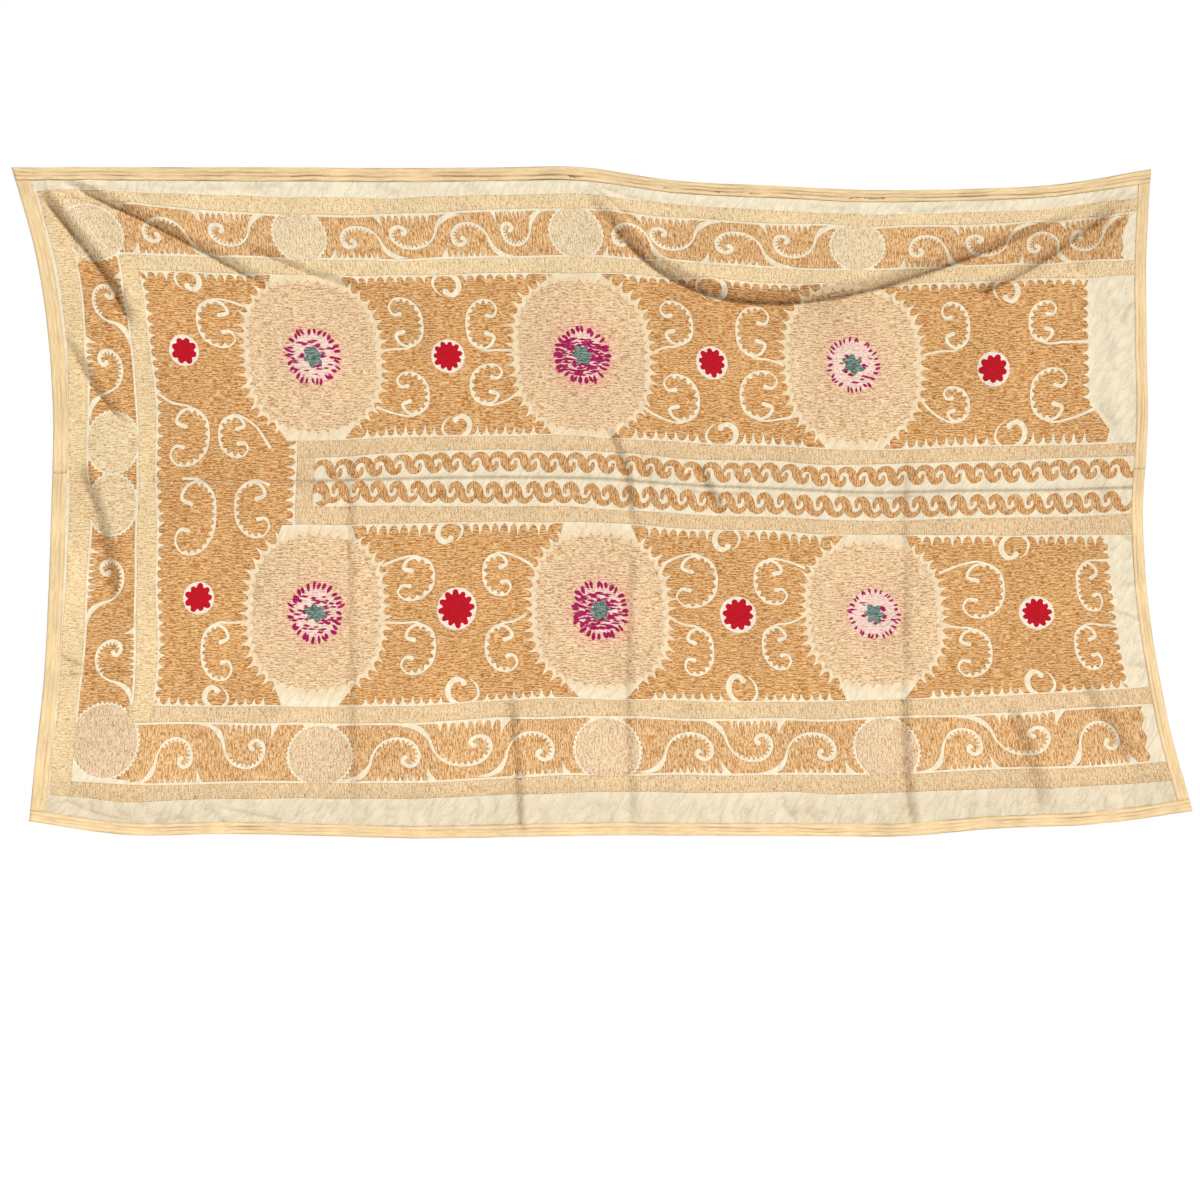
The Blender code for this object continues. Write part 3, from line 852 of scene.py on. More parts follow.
# The roundels lie between the vines, each in a thin scalloped bare line. One in a long border has a
# bare foot above and below, and one in the left border has them at its sides.
for s, t, across, tall, thread in ROUNDELS:
    lobes = round((across + tall) * 0.30)
    layout.leave(rounded(s, t, across + 3, tall + 3, lobes * 4, 0.07, lobes))
    layout.fill(rounded(s, t, across - 1, tall - 1, lobes * 3, 0.04, lobes), thread)
    for way in (-1, 1):
        if s > 200:
            foot, neck = t + way * (tall + 8), t + way * (tall - 14)
            layout.leave([(s - 42, foot), (s + 42, foot), (s + 28, neck), (s - 28, neck)])
        elif MIDDLE / 2 < t < 1000:
            foot, neck = s + way * (across + 8), s + way * (across - 14)
            layout.leave([(foot, t - 36), (foot, t + 36), (neck, t + 24), (neck, t - 24)])

# The stripes that frame it all are cream, grained and outlined by a fine dark rim, which is both their own
# dark line and painted shade at their edges.
for name, places, _, _ in STRIPES:
    outline = strip_between(above(name, 0), under(name, 0), places[0], places[-1])
    if name.startswith("left"):
        layout.fill(outline[:, ::-1], SIDE_STRIPE, rim=1.3)
    else:
        layout.fill(outline, STRIPE if name.startswith("top") else LOW_STRIPE, rim=1.3)
BAND_END = [(BAND_START, 622), (BAND_START + 40, 622), (BAND_START + 40, 730), (BAND_START, 730)]
layout.fill(BAND_END, LOW_STRIPE, rim=1.3)

# The running waves in the centre band: two rows with bare cotton between them, the lower one the
# upper one turned round. Each wave swells as it falls and turns up into a thin hook.
WAVE_PITCH = 43.4
WAVE_COUNT = 42
WAVE_ROWS = (
    # the stripe that the row follows, which edge of it, how far below that edge, height, turned round
    ("centre_upper", 1, 5, 42, False),
    ("centre_lower", 0, -54, 48, True),
)
WAVE = (
    # along the row and down it, in shares of the pitch and of the row's height
    (-0.44, 0.54), (-0.32, 0.25), (-0.02, 0.13), (0.25, 0.27), (0.38, 0.55), (0.60, 0.85), (0.87, 0.76),
    (0.91, 0.46),
)
WAVE_WIDTHS = (3, 10, 13, 18, 22, 17, 12, 6)
for stripe, side, drop, tall, turned in WAVE_ROWS:
    for i in range(WAVE_COUNT):
        s = BAND_START + 62 + i * WAVE_PITCH + hand.uniform(-2, 2)
        head = float(edge_of(stripe, side, s)) + drop
        lean = hand.uniform(-0.04, 0.04)
        points = []
        for x, y in WAVE:
            x, y = (0.45 - x, 1 - y) if turned else (x, y)
            points.append((s + (x + lean * y) * WAVE_PITCH, head + y * tall))
        layout.fill(ribbon(flowing(points, 7), WAVE_WIDTHS), WAVE_TAN, rim=1.2)
leaf = flowing([(597, 676), (590, 688), (598, 697), (612, 702), (617, 712), (604, 722), (592, 720)], 6)
layout.fill(ribbon(leaf, (3, 5, 6, 8, 14, 14, 2)), WAVE_TAN, rim=1.2)

# Each rosette's heart: a ring of magenta petals round a blush disc, dashes of the same thread, and
# a teal star in the middle.
PETALS = 30
# share of the petal's length from the heart, share of its half width to one side
PETAL = ((0, 0), (0.28, -0.8), (0.66, -1.0), (0.95, -0.5), (0.95, 0.5), (0.66, 1.0), (0.28, 0.8))
for s, t, magenta in ROSETTES:
    disc = lambda x, d: rosette_edge(s, t, DISC_EDGE, 21, x, d)
    layout.fill(toothed_run(disc, 0, 2 * np.pi, 2 * np.pi / TOOTH_COUNT, 10, 0.5)[:-1], CREAM, rim=0.7)
    layout.fill(rounded(s, t, 57, 55, 40, 0.05, 20), PINK, rim=0)
    size = 0.64 + 0.36 * min(1, magenta / 60)
    for i in range(PETALS):
        angle = 2 * np.pi * (i + hand.uniform(-0.25, 0.25)) / PETALS
        low, long, half = hand.uniform(44, 49), size * hand.uniform(15, 22), size * hand.uniform(3.4, 5.4)
        lean = hand.uniform(-0.10, 0.10)
        petal = []
        for share, aside in PETAL:
            out, turn, aside = low + share * long, angle + lean * share, aside * half
            x, y = out * np.cos(turn) - aside * np.sin(turn), out * np.sin(turn) + aside * np.cos(turn)
            petal.append((s + x, t + y))
        layout.fill(petal, MAGENTA, rim=0)
    for _ in range(magenta):
        angle, reach = hand.uniform(0, 2 * np.pi), 52 * np.sqrt(hand.uniform(0.12, 1))
        long, tall = hand.uniform(5, 12), hand.uniform(1.8, 3.3)
        x, y = s - 4 + reach * np.cos(angle), t + 3 + 0.8 * reach * np.sin(angle)
        dash = ((-long, 0.6), (-0.3 * long, -tall), (long, -0.6), (0.3 * long, tall))
        layout.fill([(x + a, y + b) for a, b in dash], MAGENTA, rim=0)
    for angle in hand.uniform(0, 2 * np.pi, 8):
        x, y = s + 24 * np.cos(angle), t + 22 * np.sin(angle)
        layout.fill([(x - 7, y), (x, y - 4), (x + 7, y), (x, y + 4)], MAGENTA, rim=0)
    angle = np.linspace(0, 2 * np.pi, 42, endpoint=False)
    reach = 21 + 4.4 * np.cos(6 * angle + hand.uniform(0, 6)) + 2.4 * np.cos(2 * angle + hand.uniform(0, 6))
    layout.fill(np.stack([s + reach * np.cos(angle), t + 0.9 * reach * np.sin(angle)], 1), TEAL)

# Red flowers on white discs fill the gaps between the rosettes. No two petals are quite as long.
for s, t, radius, petals in FLOWERS:
    layout.fill(rounded(s, t, radius + 3, count=28), DISC)
    turn = np.linspace(0, 2 * np.pi, petals * 7, endpoint=False)
    long = hand.uniform(0.36, 0.52, petals)[np.round(turn * petals / (2 * np.pi)).astype(int) % petals]
    reach = radius * (0.50 + long * np.abs(np.cos(petals * turn / 2)) ** 0.42)
    angle = turn + hand.uniform(0, 1)
    layout.fill(np.stack([s + reach * np.cos(angle), t + reach * np.sin(angle)], 1), RED)

# --------------------------------------------------------------------
# The two loom widths. Each is one length of cotton, embroidered before the two were sewn together
# edge to edge. The fillings stand a little proud of the bare cotton and show paler on the back.
FRONT_BARE, FRONT_FILLED, BACK = 0.0003, 0.0009, -0.0005
GRID = 17
PLAIN_GRID = 6.8
SEAM_ROWS = (2, 6, 12, 19, 27)
FOLD_ROWS = (-1.2, -0.7, 0.0, 0.6, 0.9, 1.25)


def dyed(red, green, blue):
    """A colour as the eye reads it, out of 255, made linear."""
    part = np.array([red, green, blue]) / 255
    return np.where(part <= 0.04045, part / 12.92, ((part + 0.055) / 1.055) ** 2.4)


THREADS = {
    # colour, rows run down (1) or across (0), how streaked, how grained
    TAN: (dyed(217, 160, 94), 0, 1.0, 0.25),
    BORDER_TAN: (dyed(224, 174, 114), 1, 0.85, 0.30),
    WAVE_TAN: (dyed(212, 158, 97), 1, 0.75, 0.30),
    CREAM: (dyed(235, 200, 154), 0, 0.80, 0.40),
    STRIPE: (dyed(240, 213, 165), 1, 0.45, 0.50),
    LOW_STRIPE: (dyed(231, 200, 154), 1, 0.45, 0.50),
    SIDE_STRIPE: (dyed(240, 212, 162), 0, 0.50, 0.40),
    DISC: (dyed(246, 230, 214), 0, 0.25, 0.3),
    ROUNDEL: (dyed(237, 214, 174), 1, 0.5, 0.55),
    LOW_ROUNDEL: (dyed(231, 201, 161), 1, 0.5, 0.55),
    SIDE_ROUNDEL: (dyed(238, 212, 166), 0, 0.60, 0.40),
    RED: (dyed(185, 0, 21), 0, 0.22, 0.1),
    PINK: (dyed(245, 214, 200), 0, 0.50, 0.4),
    MAGENTA: (dyed(160, 8, 76), 0, 0.45, 0.3),
    TEAL: (dyed(96, 124, 116), 0, 0.8, 0.4),
    COTTON: (dyed(243, 231, 203), 0, 0.0, 0.20),
}
BLUSH, YELLOWED = dyed(238, 176, 150), dyed(238, 208, 162)
# How much darker the rims are, as dark outlines and as painted shade where fillings meet; and the tint of the
# painted shade and darkening from folds, creases, seam and foot.
RIM_SHADE, DARKENING_TINT = (0.80, 0.72, 0.62), (0.85, 1.0, 1.15)
# Colour on the back is this much of the thread's and this much of the cotton's.
BACK_THREAD, BACK_COTTON = 0.42, 0.55


def grid_points(s0, s1, t0, t1):
    """Points inside one loom width, closer together in plain cotton, by the seam and along folds."""
    found = []
    for i, t in enumerate(np.arange(t0 + 6, t1 - 5, GRID)):
        found += [(s, t) for s in np.arange(s0 + 6 + (i % 2) * GRID / 2, s1 - 5, GRID)]
    plain = ((s0, s1, t0, 56), (s0, s1, 1372, t1), (2345, s1, 232, 570), (2396, s1, 784, 1146))
    for a, b, c, d in plain:
        for t in np.arange(max(c, t0) + 4, min(d, t1) - 3, PLAIN_GRID):
            found += [(s, t) for s in np.arange(a + 4, b - 3, PLAIN_GRID)]
    for off in SEAM_ROWS:
        t = t1 - off if t0 < 1 else t0 + off
        found += [(s, t) for s in np.arange(s0 + 8 + off % 5, s1 - 5, 8)]
    for points, half_width, _ in (*FOLDS, *CREASES):
        path = flowing(drawn(points) * 1000, 9)
        slope = np.gradient(path, axis=0)
        slope /= np.linalg.norm(slope, axis=1)[:, None]
        side = np.stack([-slope[:, 1], slope[:, 0]], 1)
        for share in FOLD_ROWS if half_width > 0.01 else (-1, 0, 1):
            row = path + side * share * half_width * 1000
            inside = (row[:, 0] > s0 + 5) & (row[:, 0] < s1 - 5) & (row[:, 1] > t0 + 1) & (row[:, 1] < t1 - 1)
            found += row[inside].tolist()
    return found


def covered(spots, outline):
    """Which spots the outline goes round, however often it crosses itself."""
    x, y = spots[:, 0, None], spots[:, 1, None]
    ax, ay = outline.T
    bx, by = np.roll(outline, -1, axis=0).T
    left_of = (bx - ax) * (y - ay) - (x - ax) * (by - ay)
    up = (ay <= y) & (by > y) & (left_of > 0)
    down = (ay > y) & (by <= y) & (left_of < 0)
    return (up.sum(axis=1) - down.sum(axis=1)) != 0


def worked_flat(t0, t1):
    """The flat cloth from t0 to t1 as triangles: points, faces, each face's kind and thread."""
    s0, s1 = 0.0, WIDTH * 1000
    border = evened([(s0, t0), (s1, t0), (s1, t1), (s0, t1)])
    shapes = []
    for outline, kind, thread in layout.shapes():
        if outline[:, 1].max() > t0 and outline[:, 1].min() < t1:
            shapes.append((outline, kind, thread))
    flat, edges = [], []
    for outline in [border] + [shape[0] for shape in shapes]:
        first, count = len(flat), len(outline)
        edges += [(first + i, first + (i + 1) % count) for i in range(count)]
        flat += outline.tolist()
    flat += grid_points(s0, s1, t0, t1)
    points, _, faces, _, _, _ = delaunay_2d_cdt(flat, edges, [], 0, 0.02, False)
    points, faces = np.array([tuple(p) for p in points]), np.array(faces)
    middle = points[faces].mean(axis=1)
    inside = (middle[:, 0] > s0) & (middle[:, 0] < s1) & (middle[:, 1] > t0) & (middle[:, 1] < t1)
    faces, middle = faces[inside], middle[inside]
    by_level = np.argsort(middle[:, 1])
    faces, middle = faces[by_level], middle[by_level]
    kinds, threads = np.full(len(faces), BARE), np.full(len(faces), COTTON)
    for outline, kind, thread in shapes:
        (left, top), (right, foot) = outline.min(axis=0), outline.max(axis=0)
        low, high = np.searchsorted(middle[:, 1], (top, foot))
        near = low + np.flatnonzero((middle[low:high, 0] > left) & (middle[low:high, 0] < right))
        near = near[covered(middle[near], outline)]
        if thread is None:
            near = near[kinds[near] != BARE]
        else:
            threads[near] = thread
        kinds[near] = kind
    return points, faces, kinds, threads


def face_one_way(points, faces):
    """The triangles, all wound so that they face the front when the cloth hangs."""
    a, b, c = (points[faces[:, i]] for i in range(3))
    cross = (b[:, 0] - a[:, 0]) * (c[:, 1] - a[:, 1]) - (b[:, 1] - a[:, 1]) * (c[:, 0] - a[:, 0])
    turned = cross > 0
    faces = faces.copy()
    faces[turned] = faces[turned][:, ::-1]
    return faces


def corner_colors(flat, faces, kinds, threads, back):
    """Each corner's thread colour: uneven dye, painted shade along folds and creases, darker parts by the
    seam and the foot, darkened rims, dye that bled, and cotton that has yellowed round the rosettes."""
    s, t = flat[:, 0] / 1000, flat[:, 1] / 1000
    base = np.array([THREADS[i][0] for i in range(len(THREADS))])[threads]
    color = np.repeat(base[:, None, :], 3, axis=1)
    worked = (kinds != BARE)[:, None]
    clouds, bands = uneven(s, t, 0.21, 31)[faces], uneven(s * 0.4, t, 0.05, 33)[faces]
    tone = 1 + np.where(worked, 0.045, 0.015) * clouds + np.where(worked, 0.03, 0.008) * bands
    # The cloth is darkened by the painted shade in folds and creases and by the darker parts at the seam and
    # the foot, a little more in blue.
    darkening = 1 - painted_shade_and_darkening(s, t)[faces][..., None] * DARKENING_TINT
    color = color * tone[..., None] * darkening
    for s0, t0, magenta in ROSETTES:
        off = np.hypot(s - s0 / 1000, t - t0 / 1000)[faces]
        ringed = np.isin(threads, (CREAM, PINK))[:, None]
        bleed = ringed * (0.25 + 0.002 * magenta) * np.exp(-(((off - 0.064) / 0.020) ** 2))
        color = color + (BLUSH - color) * bleed[..., None]
        stained = (threads == COTTON)[:, None] * 0.55 * (1 - ease(off, 0.170, 0.195))
        color = color + (YELLOWED - color) * stained[..., None]
    # Rims are darker: the dark outline of the stitching, and painted shade where fillings meet.
    color = np.where((kinds == RIM)[:, None, None], color * RIM_SHADE, color)
    if back:
        color = color * BACK_THREAD + THREADS[COTTON][0] * BACK_COTTON
    return np.clip(color, 0, 1)


def add_loom_width(name, t0, t1):
    """One hanging loom width: the worked front, the plainer back, and the edges between them."""
    flat, faces, kinds, threads = worked_flat(t0, t1)
    faces = face_one_way(flat, faces)
    used, back_index = np.unique(faces, return_inverse=True)
    flat, faces = flat[used], back_index.reshape(-1, 3)
    count = len(flat)
    touched = np.zeros((3, count), bool)
    for kind in (BARE, RIM, FILLED):
        touched[kind, faces[kinds == kind].ravel()] = True
    rise = np.where(touched[BARE], 0.0, np.where(touched[FILLED], 1.0, 0.5))
    s, t = flat[:, 0] / 1000, flat[:, 1] / 1000
    middle, normal = hang(s, t), outward(s, t)
    small = wrinkles(s, t)
    front_out = FRONT_BARE + (FRONT_FILLED - FRONT_BARE) * rise + small
    points = np.concatenate([middle + normal * front_out[:, None], middle + normal * (BACK + small)[:, None]])

    ends = np.concatenate([faces[:, [0, 1]], faces[:, [1, 2]], faces[:, [2, 0]]])
    codes, other = ends[:, 0] * count + ends[:, 1], ends[:, 1] * count + ends[:, 0]
    rim = ends[~np.isin(codes, other)]
    walls = np.concatenate([
        np.stack([rim[:, 1], rim[:, 0], rim[:, 0] + count], 1),
        np.stack([rim[:, 1], rim[:, 0] + count, rim[:, 1] + count], 1),
    ])
    solid = np.concatenate([faces, faces[:, ::-1] + count, walls])
    mesh = bpy.data.meshes.new(name)
    mesh.from_pydata(points.tolist(), [], solid.tolist())
    mesh.shade_smooth()

    front_color = corner_colors(flat, faces, kinds, threads, False)
    back_color = corner_colors(flat, faces, kinds, threads, True)[:, ::-1]
    wall_color = np.tile(THREADS[COTTON][0], (len(walls), 3, 1))
    color = np.concatenate([front_color, back_color, wall_color]).reshape(-1, 3)
    stored = mesh.color_attributes.new("thread", "FLOAT_COLOR", "CORNER")
    stored.data.foreach_set("color", np.c_[color, np.ones(len(color))].ravel())

    look = np.array([THREADS[i][1:] for i in range(len(THREADS))], float)[threads]
    back_look = look * (1, 0.5, 1)
    wall_look = np.zeros((len(walls), 3))
    rows = np.repeat(np.concatenate([look, back_look, wall_look]), 3, axis=0)
    mesh.attributes.new("rows", "FLOAT_VECTOR", "CORNER").data.foreach_set("vector", rows.ravel())
    spot = np.c_[np.r_[s, s], np.r_[t, t], np.zeros(2 * count)]
    mesh.attributes.new("flat", "FLOAT_VECTOR", "POINT").data.foreach_set("vector", spot.ravel())

    mark_furrows(mesh, faces, kinds, count)
    add_bake_map(mesh, s / WIDTH, (t - t0 / 1000) / ((t1 - t0) / 1000), faces, rim, count)
    piece = bpy.data.objects.new(name, mesh)
    bpy.context.scene.collection.objects.link(piece)
    return piece


def mark_furrows(mesh, faces, kinds, count):
    """Edges where bare cotton, rim and filling meet are sharp, so that each stays evenly lit."""
    kind_of = {}
    for face, kind in zip(faces.tolist(), kinds.tolist()):
        for a, b in ((face[0], face[1]), (face[1], face[2]), (face[2], face[0])):
            kind_of.setdefault((min(a, b), max(a, b)), []).append(kind)
    ends = np.zeros(len(mesh.edges) * 2, int)
    mesh.edges.foreach_get("vertices", ends)
    sharp = []
    for a, b in ends.reshape(-1, 2).tolist():
        found = kind_of.get((min(a, b), max(a, b)), [])
        sharp.append(len(found) == 1 or (a >= count) != (b >= count) or len(set(found)) > 1)
    mesh.attributes.new("sharp_edge", "BOOLEAN", "EDGE").data.foreach_set("value", sharp)


def add_bake_map(mesh, u, v, faces, rim, count):
    """The map for the finish: the front in one half, the back in the other, the edges between."""
    front = np.stack([0.01 + 0.98 * u, 0.985 - 0.475 * v], 1)
    back = np.stack([0.01 + 0.98 * u, 0.015 + 0.475 * v], 1)
    step = 0.98 / len(rim)
    start = 0.01 + step * np.arange(len(rim))
    low, high = np.full(len(rim), 0.4945), np.full(len(rim), 0.5055)
    stop = start + step
    first = np.stack([np.c_[stop, high], np.c_[start, high], np.c_[start, low]], 1)
    second = np.stack([np.c_[stop, high], np.c_[start, low], np.c_[stop, low]], 1)
    corners = np.concatenate([front[faces], back[faces[:, ::-1]], first, second]).reshape(-1, 2)
    mesh.uv_layers.new(name="OFBake").data.foreach_set("uv", corners.ravel())


class Socket:
    """A shader socket that takes part in sums."""

    def __init__(self, finish, link):
        self.finish, self.link = finish, link

    def math(self, kind, first, second):
        return self.finish.node("ShaderNodeMath", {"operation": kind}, {0: first, 1: second})

    def __add__(self, other):
        return self.math("ADD", self, other)

    def __sub__(self, other):
        return self.math("SUBTRACT", self, other)

    def __rsub__(self, other):
        return self.math("SUBTRACT", other, self)

    def __mul__(self, other):
        return self.math("MULTIPLY", self, other)

    __radd__, __rmul__ = __add__, __mul__


class Finish:
    """One material, built from nodes."""

    def __init__(self, name, roughness, sheen):
        self.material = bpy.data.materials.new(name)
        self.material.use_nodes = True
        self.tree = self.material.node_tree
        self.shader = self.tree.nodes["Principled BSDF"]
        self.shader.inputs["Roughness"].default_value = roughness
        self.shader.inputs["Sheen Weight"].default_value = sheen
        self.shader.inputs["Specular IOR Level"].default_value = 0.25

    def node(self, kind, settings, values, output=0):
        made = self.tree.nodes.new(kind)
        for name, value in settings.items():
            setattr(made, name, value)
        for name, value in values.items():
            if isinstance(value, Socket):
                self.tree.links.new(value.link, made.inputs[name])
            else:
                made.inputs[name].default_value = value
        return Socket(self, made.outputs[output])

    def attribute(self, name, output):
        return self.node("ShaderNodeAttribute", {"attribute_name": name}, {}, output)

    def mixed(self, share, first, second):
        """Colours or vectors mixed by a share."""
        return self.node("ShaderNodeMix", {"data_type": "RGBA"}, {0: share, 6: first, 7: second}, 2)

    def scaled(self, vector, by):
        """A vector or a colour, each part times its own number."""
        return self.node("ShaderNodeVectorMath", {"operation": "MULTIPLY"}, {0: vector, 1: by})

    def parts(self, vector):
        found = self.node("ShaderNodeSeparateXYZ", {}, {0: vector})
        return [Socket(self, part) for part in found.link.node.outputs]

    def noise(self, vector, detail, roughness):
        values = {"Vector": vector, "Scale": 1.0, "Detail": detail, "Roughness": roughness}
        return self.node("ShaderNodeTexNoise", {}, values)

    def ranged(self, value, low, high, to_low, to_high):
        return self.node("ShaderNodeMapRange", {}, {0: value, 1: low, 2: high, 3: to_low, 4: to_high})

    def wear(self, name, value):
        self.tree.links.new(value.link, self.shader.inputs[name])


# Laid threads are couched down in rows, so a filling is streaked along its rows by painted shadows
# between threads and painted highlights on them, and by bumps. Stripes and roundels are worked finer
# and look grained, also painted in highlight and shade. Bare cotton shows its weave.
STREAK, GRAIN = 20.0, 11.0
# How much painted shade lies along the creases and on the swells of plain cotton, and how strongly the swells
# are bumped.
CREASE_SHADE, SWELL_SHADE, SWELL_BUMP = 0.15, 1.5, 55.0
cotton = Finish("worked_cotton", 0.88, 0.08)
thread = cotton.attribute("thread", 0)
spot = cotton.attribute("flat", 1)
rows_down, streaked, grained = cotton.parts(cotton.attribute("rows", 1))


def noise_by_row(length, pitch):
    """Noise drawn out along the rows of thread, whichever way they run."""
    across = cotton.scaled(spot, (1 / length, 1 / pitch, 0))
    down = cotton.scaled(spot, (1 / pitch, 1 / length, 0))
    return cotton.noise(cotton.mixed(rows_down, across, down), 1.0, 0.6)


row_noise, stitch_noise = noise_by_row(0.024, 0.0026), noise_by_row(0.008, 0.0020)
grain_noise = cotton.noise(cotton.scaled(spot, (430, 370, 0)), 1.0, 0.6)
streak = (row_noise * 0.45 + stitch_noise * 0.55 - 0.5) * streaked * STREAK
grain = (grain_noise - 0.5) * grained * GRAIN

# Cotton without any stitches is crumpled: long slanting swells that meet in sharp creases, with painted shade
# along the creases and over the swells.
plain = cotton.ranged(streaked, 0.0, 0.2, 1.0, 0.0)
turned = cotton.node("ShaderNodeMapping", {}, {"Vector": spot, "Rotation": (0, 0, 0.9)})
crumpled = cotton.noise(cotton.scaled(turned, (14, 40, 0)), 2.0, 0.45) - 0.5
crumpled = cotton.node("ShaderNodeMath", {"operation": "ABSOLUTE"}, {0: crumpled})
creases = cotton.ranged(crumpled, 0.0, 0.045, 1.0, 0.0) * plain
relief = streak + grain - creases * CREASE_SHADE + (crumpled - 0.06) * plain * SWELL_SHADE
# The relief paints light and shade into the colour: rises turn toward a paler copy of the thread as painted
# highlight, hollows toward a darker copy as painted shadow.
highlight_share = cotton.ranged(relief, 0.0, 1.5, 0.0, 1.0)
shade_share = cotton.ranged(relief, 0.0, -1.5, 0.0, 1.0)
painted_highlight = cotton.node("ShaderNodeGamma", {}, {"Color": thread, "Gamma": 0.58})
shadow = cotton.scaled(thread, (0.58, 0.44, 0.32))
lit = cotton.mixed(highlight_share, thread, painted_highlight)
cotton.wear("Base Color", cotton.mixed(shade_share, lit, shadow))
weave_noise = cotton.noise(cotton.scaled(spot, (700, 700, 0)), 1.0, 0.5)
surface = relief * 0.6 + weave_noise * 0.3 + crumpled * plain * SWELL_BUMP
height = {"Strength": 0.4, "Distance": 0.0010, "Height": surface}
cotton.wear("Normal", cotton.node("ShaderNodeBump", {}, height))

upper_width = add_loom_width("embroidered_width_upper", 0, SEAM * 1000 - SEAM_GAP * 500)
lower_width = add_loom_width("embroidered_width_lower", SEAM * 1000 + SEAM_GAP * 500, HEIGHT * 1000)
for piece, node in ((upper_width, "panel_upper"), (lower_width, "panel_lower")):
    piece.data.materials.append(cotton.material)
    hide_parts(node)
    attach(piece, "root")

# --------------------------------------------------------------------
# The binding. A strip of coarser, yellower cotton is folded round every edge and sewn down, in one
# length along the top and the foot and in two lengths down each side.
TOP_STRIP, BOTTOM_STRIP, LEFT_STRIP, RIGHT_STRIP = 0.028, 0.026, 0.032, 0.024
LEFT_JOIN, RIGHT_JOIN = 0.654, 0.634
STRIP_OUT = 0.0019
STRIP_STEP = 0.009
EDGE_COLOR = dyed(240, 211, 162)
# The darker colour of the sewn lines and of the painted shade on the strip.
EDGE_LINE_AND_SHADE = dyed(118, 82, 48)
# share of the strip's width from the fold, how far it stands out, how dark it is there, from sewn lines and
# from painted shade in the pleats' hollows and at the edges
SECTION = (
    (1.00, 0.70, 0.55), (0.97, 0.95, 0.30), (0.88, 1.05, 0.0), (0.74, 0.92, 0.0), (0.62, 0.72, 0.45),
    (0.56, 1.00, 0.10), (0.44, 1.08, 0.0), (0.34, 0.86, 0.30), (0.28, 1.02, 0.0), (0.14, 1.08, 0.0),
    (0.04, 0.92, 0.05), (0.0, 0.55, 0.45),
)
# the same for the strip's hollow, in which the cloth lies, and how dark the painted shade in it is
LINING = ((1.0, -0.45), (0.5, -0.45), (0.06, -0.45), (0.06, 0.50), (0.5, 0.50), (1.0, 0.50))
LINING_SHADE = 0.6
# how far the fold lies past the cloth's edge, how the sewn lines wander, how the strip puckers
FOLD_OUT = 0.0012
WOBBLE, WOBBLE_MOST, PUCKER = 0.0012, 0.0008, 0.14


def add_binding(name, start, stop, edge, inner, across, line_and_shade, seed):
    """A strip folded round an edge: the cloth's edge lies at edge, the strip's free side at inner, and
    line_and_shade says how dark its sewn stitching and the painted shade in its pleats and at its edges are."""
    marks = even(start, stop, STRIP_STEP)
    width = abs(inner - edge)
    sign = 1 if inner > edge else -1
    front = [(share * width, out * STRIP_OUT, line) for share, out, line in SECTION]
    back = [(off, -out, line) for off, out, line in reversed(front)]
    ring = [*front, (-FOLD_OUT, 0.0, 0.0), *back]
    outer = len(ring)
    ring += [(share * width, out * STRIP_OUT, LINING_SHADE) for share, out in LINING]
    rows = []
    for j, (off, out, _) in enumerate(ring):
        wobble = WOBBLE * uneven(marks, j * 0.003, 0.110, seed) if 0 < off < 0.97 * width else 0
        place = edge + sign * (off + np.minimum(wobble, WOBBLE_MOST) * (j < outer))
        place = np.broadcast_to(place, marks.shape)
        s, t = (place, marks) if across else (marks, place)
        pucker = 1 + PUCKER * uneven(marks, 0, 0.018, seed + j % 3) * (j < outer)
        rows.append(hang(s, t) + outward(s, t) * (out * pucker + wrinkles(s, t))[:, None])
    points = np.array(rows)
    turns, count = len(ring), len(marks)
    at = lambda j, i: (j % turns) * count + i
    faces = []
    for j in range(turns):
        faces += [(at(j, i), at(j, i + 1), at(j + 1, i + 1), at(j + 1, i)) for i in range(count - 1)]
    faces += end_caps(turns, outer, at, count)
    mesh = bpy.data.meshes.new(name)
    mesh.from_pydata(points.reshape(-1, 3).tolist(), [], faces)
    mesh.validate()
    piece = bpy.data.objects.new(name, mesh)
    bpy.context.scene.collection.objects.link(piece)
    bpy.ops.object.select_all(action="DESELECT")
    piece.select_set(True)
    bpy.context.view_layer.objects.active = piece
    bpy.ops.object.mode_set(mode="EDIT")
    bpy.ops.mesh.select_all(action="SELECT")
    bpy.ops.mesh.normals_make_consistent(inside=False)
    bpy.ops.object.mode_set(mode="OBJECT")
    mesh.shade_smooth()
    # The sewn lines and the painted shade in the pleats, the hollow and at the edges vary in darkness along
    # the strip.
    uneven_darkness = np.array([0.8 + 0.8 * uneven(marks, j * 0.01, 0.120, seed + 7) for j in range(turns)])
    dark = np.array([line for _, _, line in ring])
    share = np.clip(dark[:, None] * uneven_darkness * line_and_shade, 0, 1)[..., None]
    tone = 1 + 0.06 * uneven(marks, 0, 0.12, seed + 5)
    painted = (EDGE_COLOR + (EDGE_LINE_AND_SHADE - EDGE_COLOR) * share) * tone[None, :, None]
    stored = mesh.color_attributes.new("thread", "FLOAT_COLOR", "POINT")
    stored.data.foreach_set("color", np.concatenate([painted, np.ones((turns, count, 1))], 2).ravel())
    along = np.broadcast_to(marks, (turns, count))
    round_it = np.broadcast_to(np.cumsum([0.003] * turns)[:, None], (turns, count))
    spot = np.stack([along, round_it, np.zeros((turns, count))], 2)
    mesh.attributes.new("flat", "FLOAT_VECTOR", "POINT").data.foreach_set("vector", spot.ravel())
    return piece


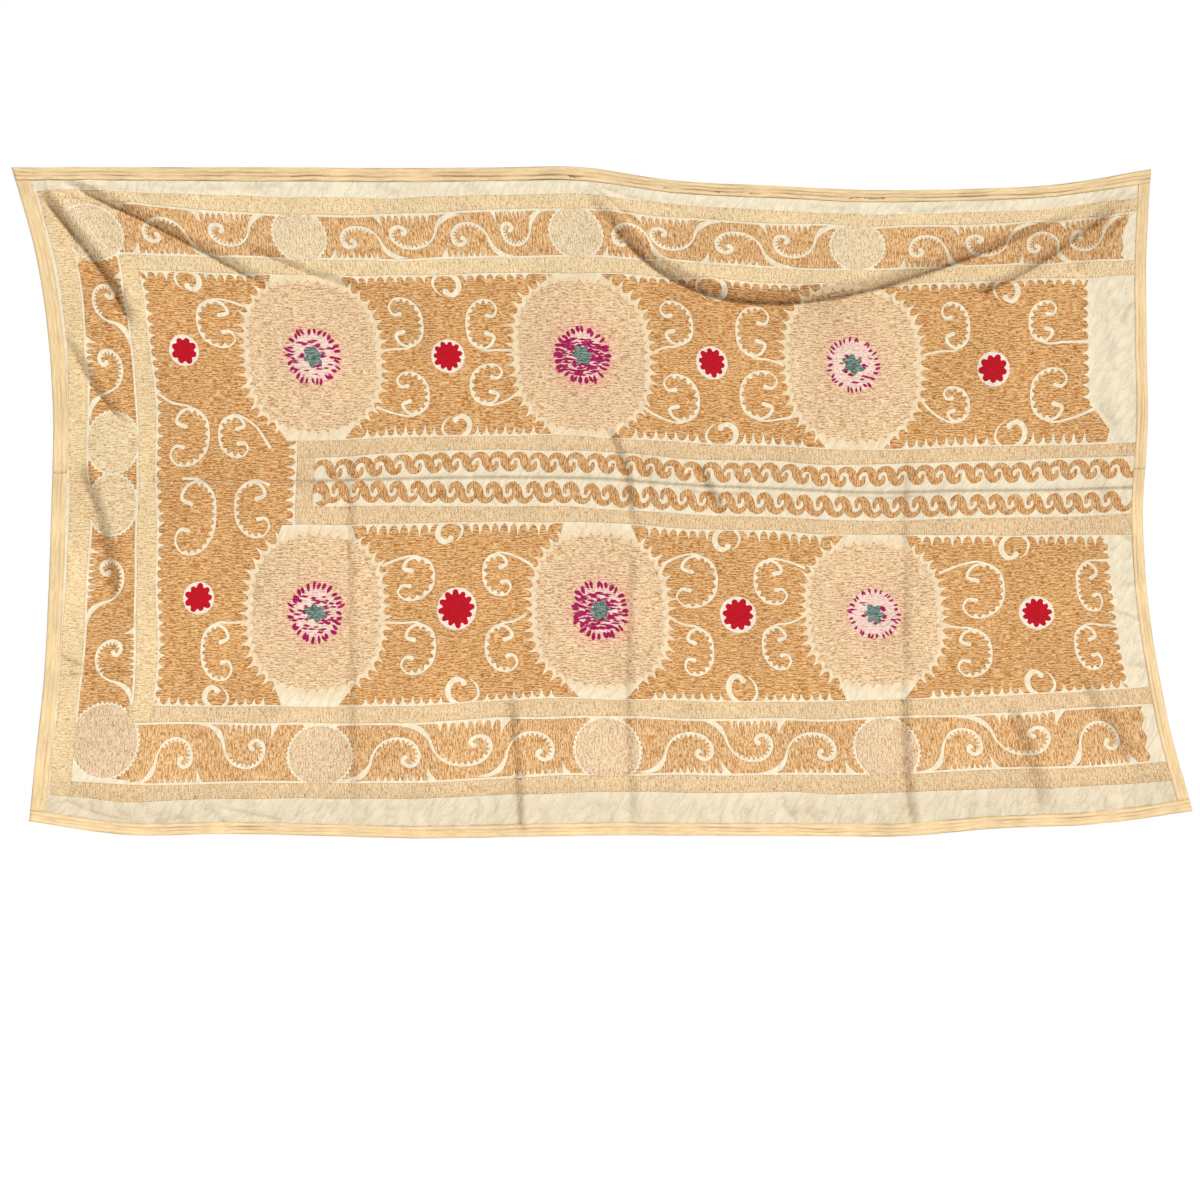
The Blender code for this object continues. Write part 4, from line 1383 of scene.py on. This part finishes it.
def end_caps(turns, outer, at, count):
    """Flat ends: quads between the outer skin and the inner one."""
    skin, lining = list(range(outer)), list(range(turns - 1, outer - 1, -1))
    match = [lining[min(len(lining) - 1, j * len(lining) // outer)] for j in skin]
    caps = []
    for i in (0, count - 1):
        for a, b, c, d in zip(skin, skin[1:], match[1:], match):
            caps.append([at(j, i) for j in ((a, b, c) if c == d else (a, b, c, d))])
    return caps


edge_cotton = Finish("edge_cotton", 0.86, 0.10)
edge_thread = edge_cotton.attribute("thread", 0)
edge_spot = edge_cotton.attribute("flat", 1)
slub = edge_cotton.noise(edge_cotton.scaled(edge_spot, (1 / 0.030, 1 / 0.0030, 0)), 3.0, 0.6)
edge_grain = edge_cotton.noise(edge_cotton.scaled(edge_spot, (500, 500, 0)), 2.0, 0.6)
edge_relief = (slub - 0.5) * 2.0 + (edge_grain - 0.5) * 0.5
edge_dark = edge_cotton.ranged(edge_relief, 0.0, -0.6, 0.0, 0.75)
edge_light = edge_cotton.ranged(edge_relief, 0.0, 0.6, 0.0, 0.5)
edge_pale = edge_cotton.mixed(edge_light, edge_thread, (*dyed(253, 238, 206), 1))
edge_cotton.wear("Base Color", edge_cotton.mixed(edge_dark, edge_pale, (*dyed(206, 162, 106), 1)))
edge_cotton.wear(
    "Normal",
    edge_cotton.node("ShaderNodeBump", {}, {"Strength": 0.4, "Distance": 0.001, "Height": edge_relief}),
)

OVER = 0.0013
JOIN_GAP = 0.00015
UNDER_TOP, OVER_FOOT = TOP_STRIP + 0.0003, HEIGHT - BOTTOM_STRIP - 0.0003
RIGHT_FREE = WIDTH - RIGHT_STRIP
BINDINGS = (
    # node, from, to, the cloth's edge, the strip's free side, runs down, how dark its sewn lines and painted
    # shade are, seed, its width
    ("binding_top", -OVER, WIDTH + OVER, 0, TOP_STRIP, False, 1.5, 41, upper_width),
    ("binding_bottom", -OVER, WIDTH + OVER, HEIGHT, HEIGHT - BOTTOM_STRIP, False, 1.0, 43, lower_width),
    ("binding_left_upper", UNDER_TOP, LEFT_JOIN - JOIN_GAP, 0, LEFT_STRIP, True, 0.6, 45, upper_width),
    ("binding_left_lower", LEFT_JOIN + JOIN_GAP, OVER_FOOT, 0, LEFT_STRIP, True, 0.6, 47, lower_width),
    ("binding_right_upper", UNDER_TOP, RIGHT_JOIN - JOIN_GAP, WIDTH, RIGHT_FREE, True, 0.6, 49, upper_width),
    ("binding_right_lower", RIGHT_JOIN + JOIN_GAP, OVER_FOOT, WIDTH, RIGHT_FREE, True, 0.6, 51, lower_width),
)
edging = {upper_width.name: [], lower_width.name: []}
for node, start, stop, edge, inner, runs_down, line_and_shade, seed, cloth in BINDINGS:
    strip = add_binding("sewn_" + node, start, stop, edge, inner, runs_down, line_and_shade, seed)
    strip.data.materials.append(edge_cotton.material)
    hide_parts(node)
    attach(strip, "root")
    edging[cloth.name].append(strip)
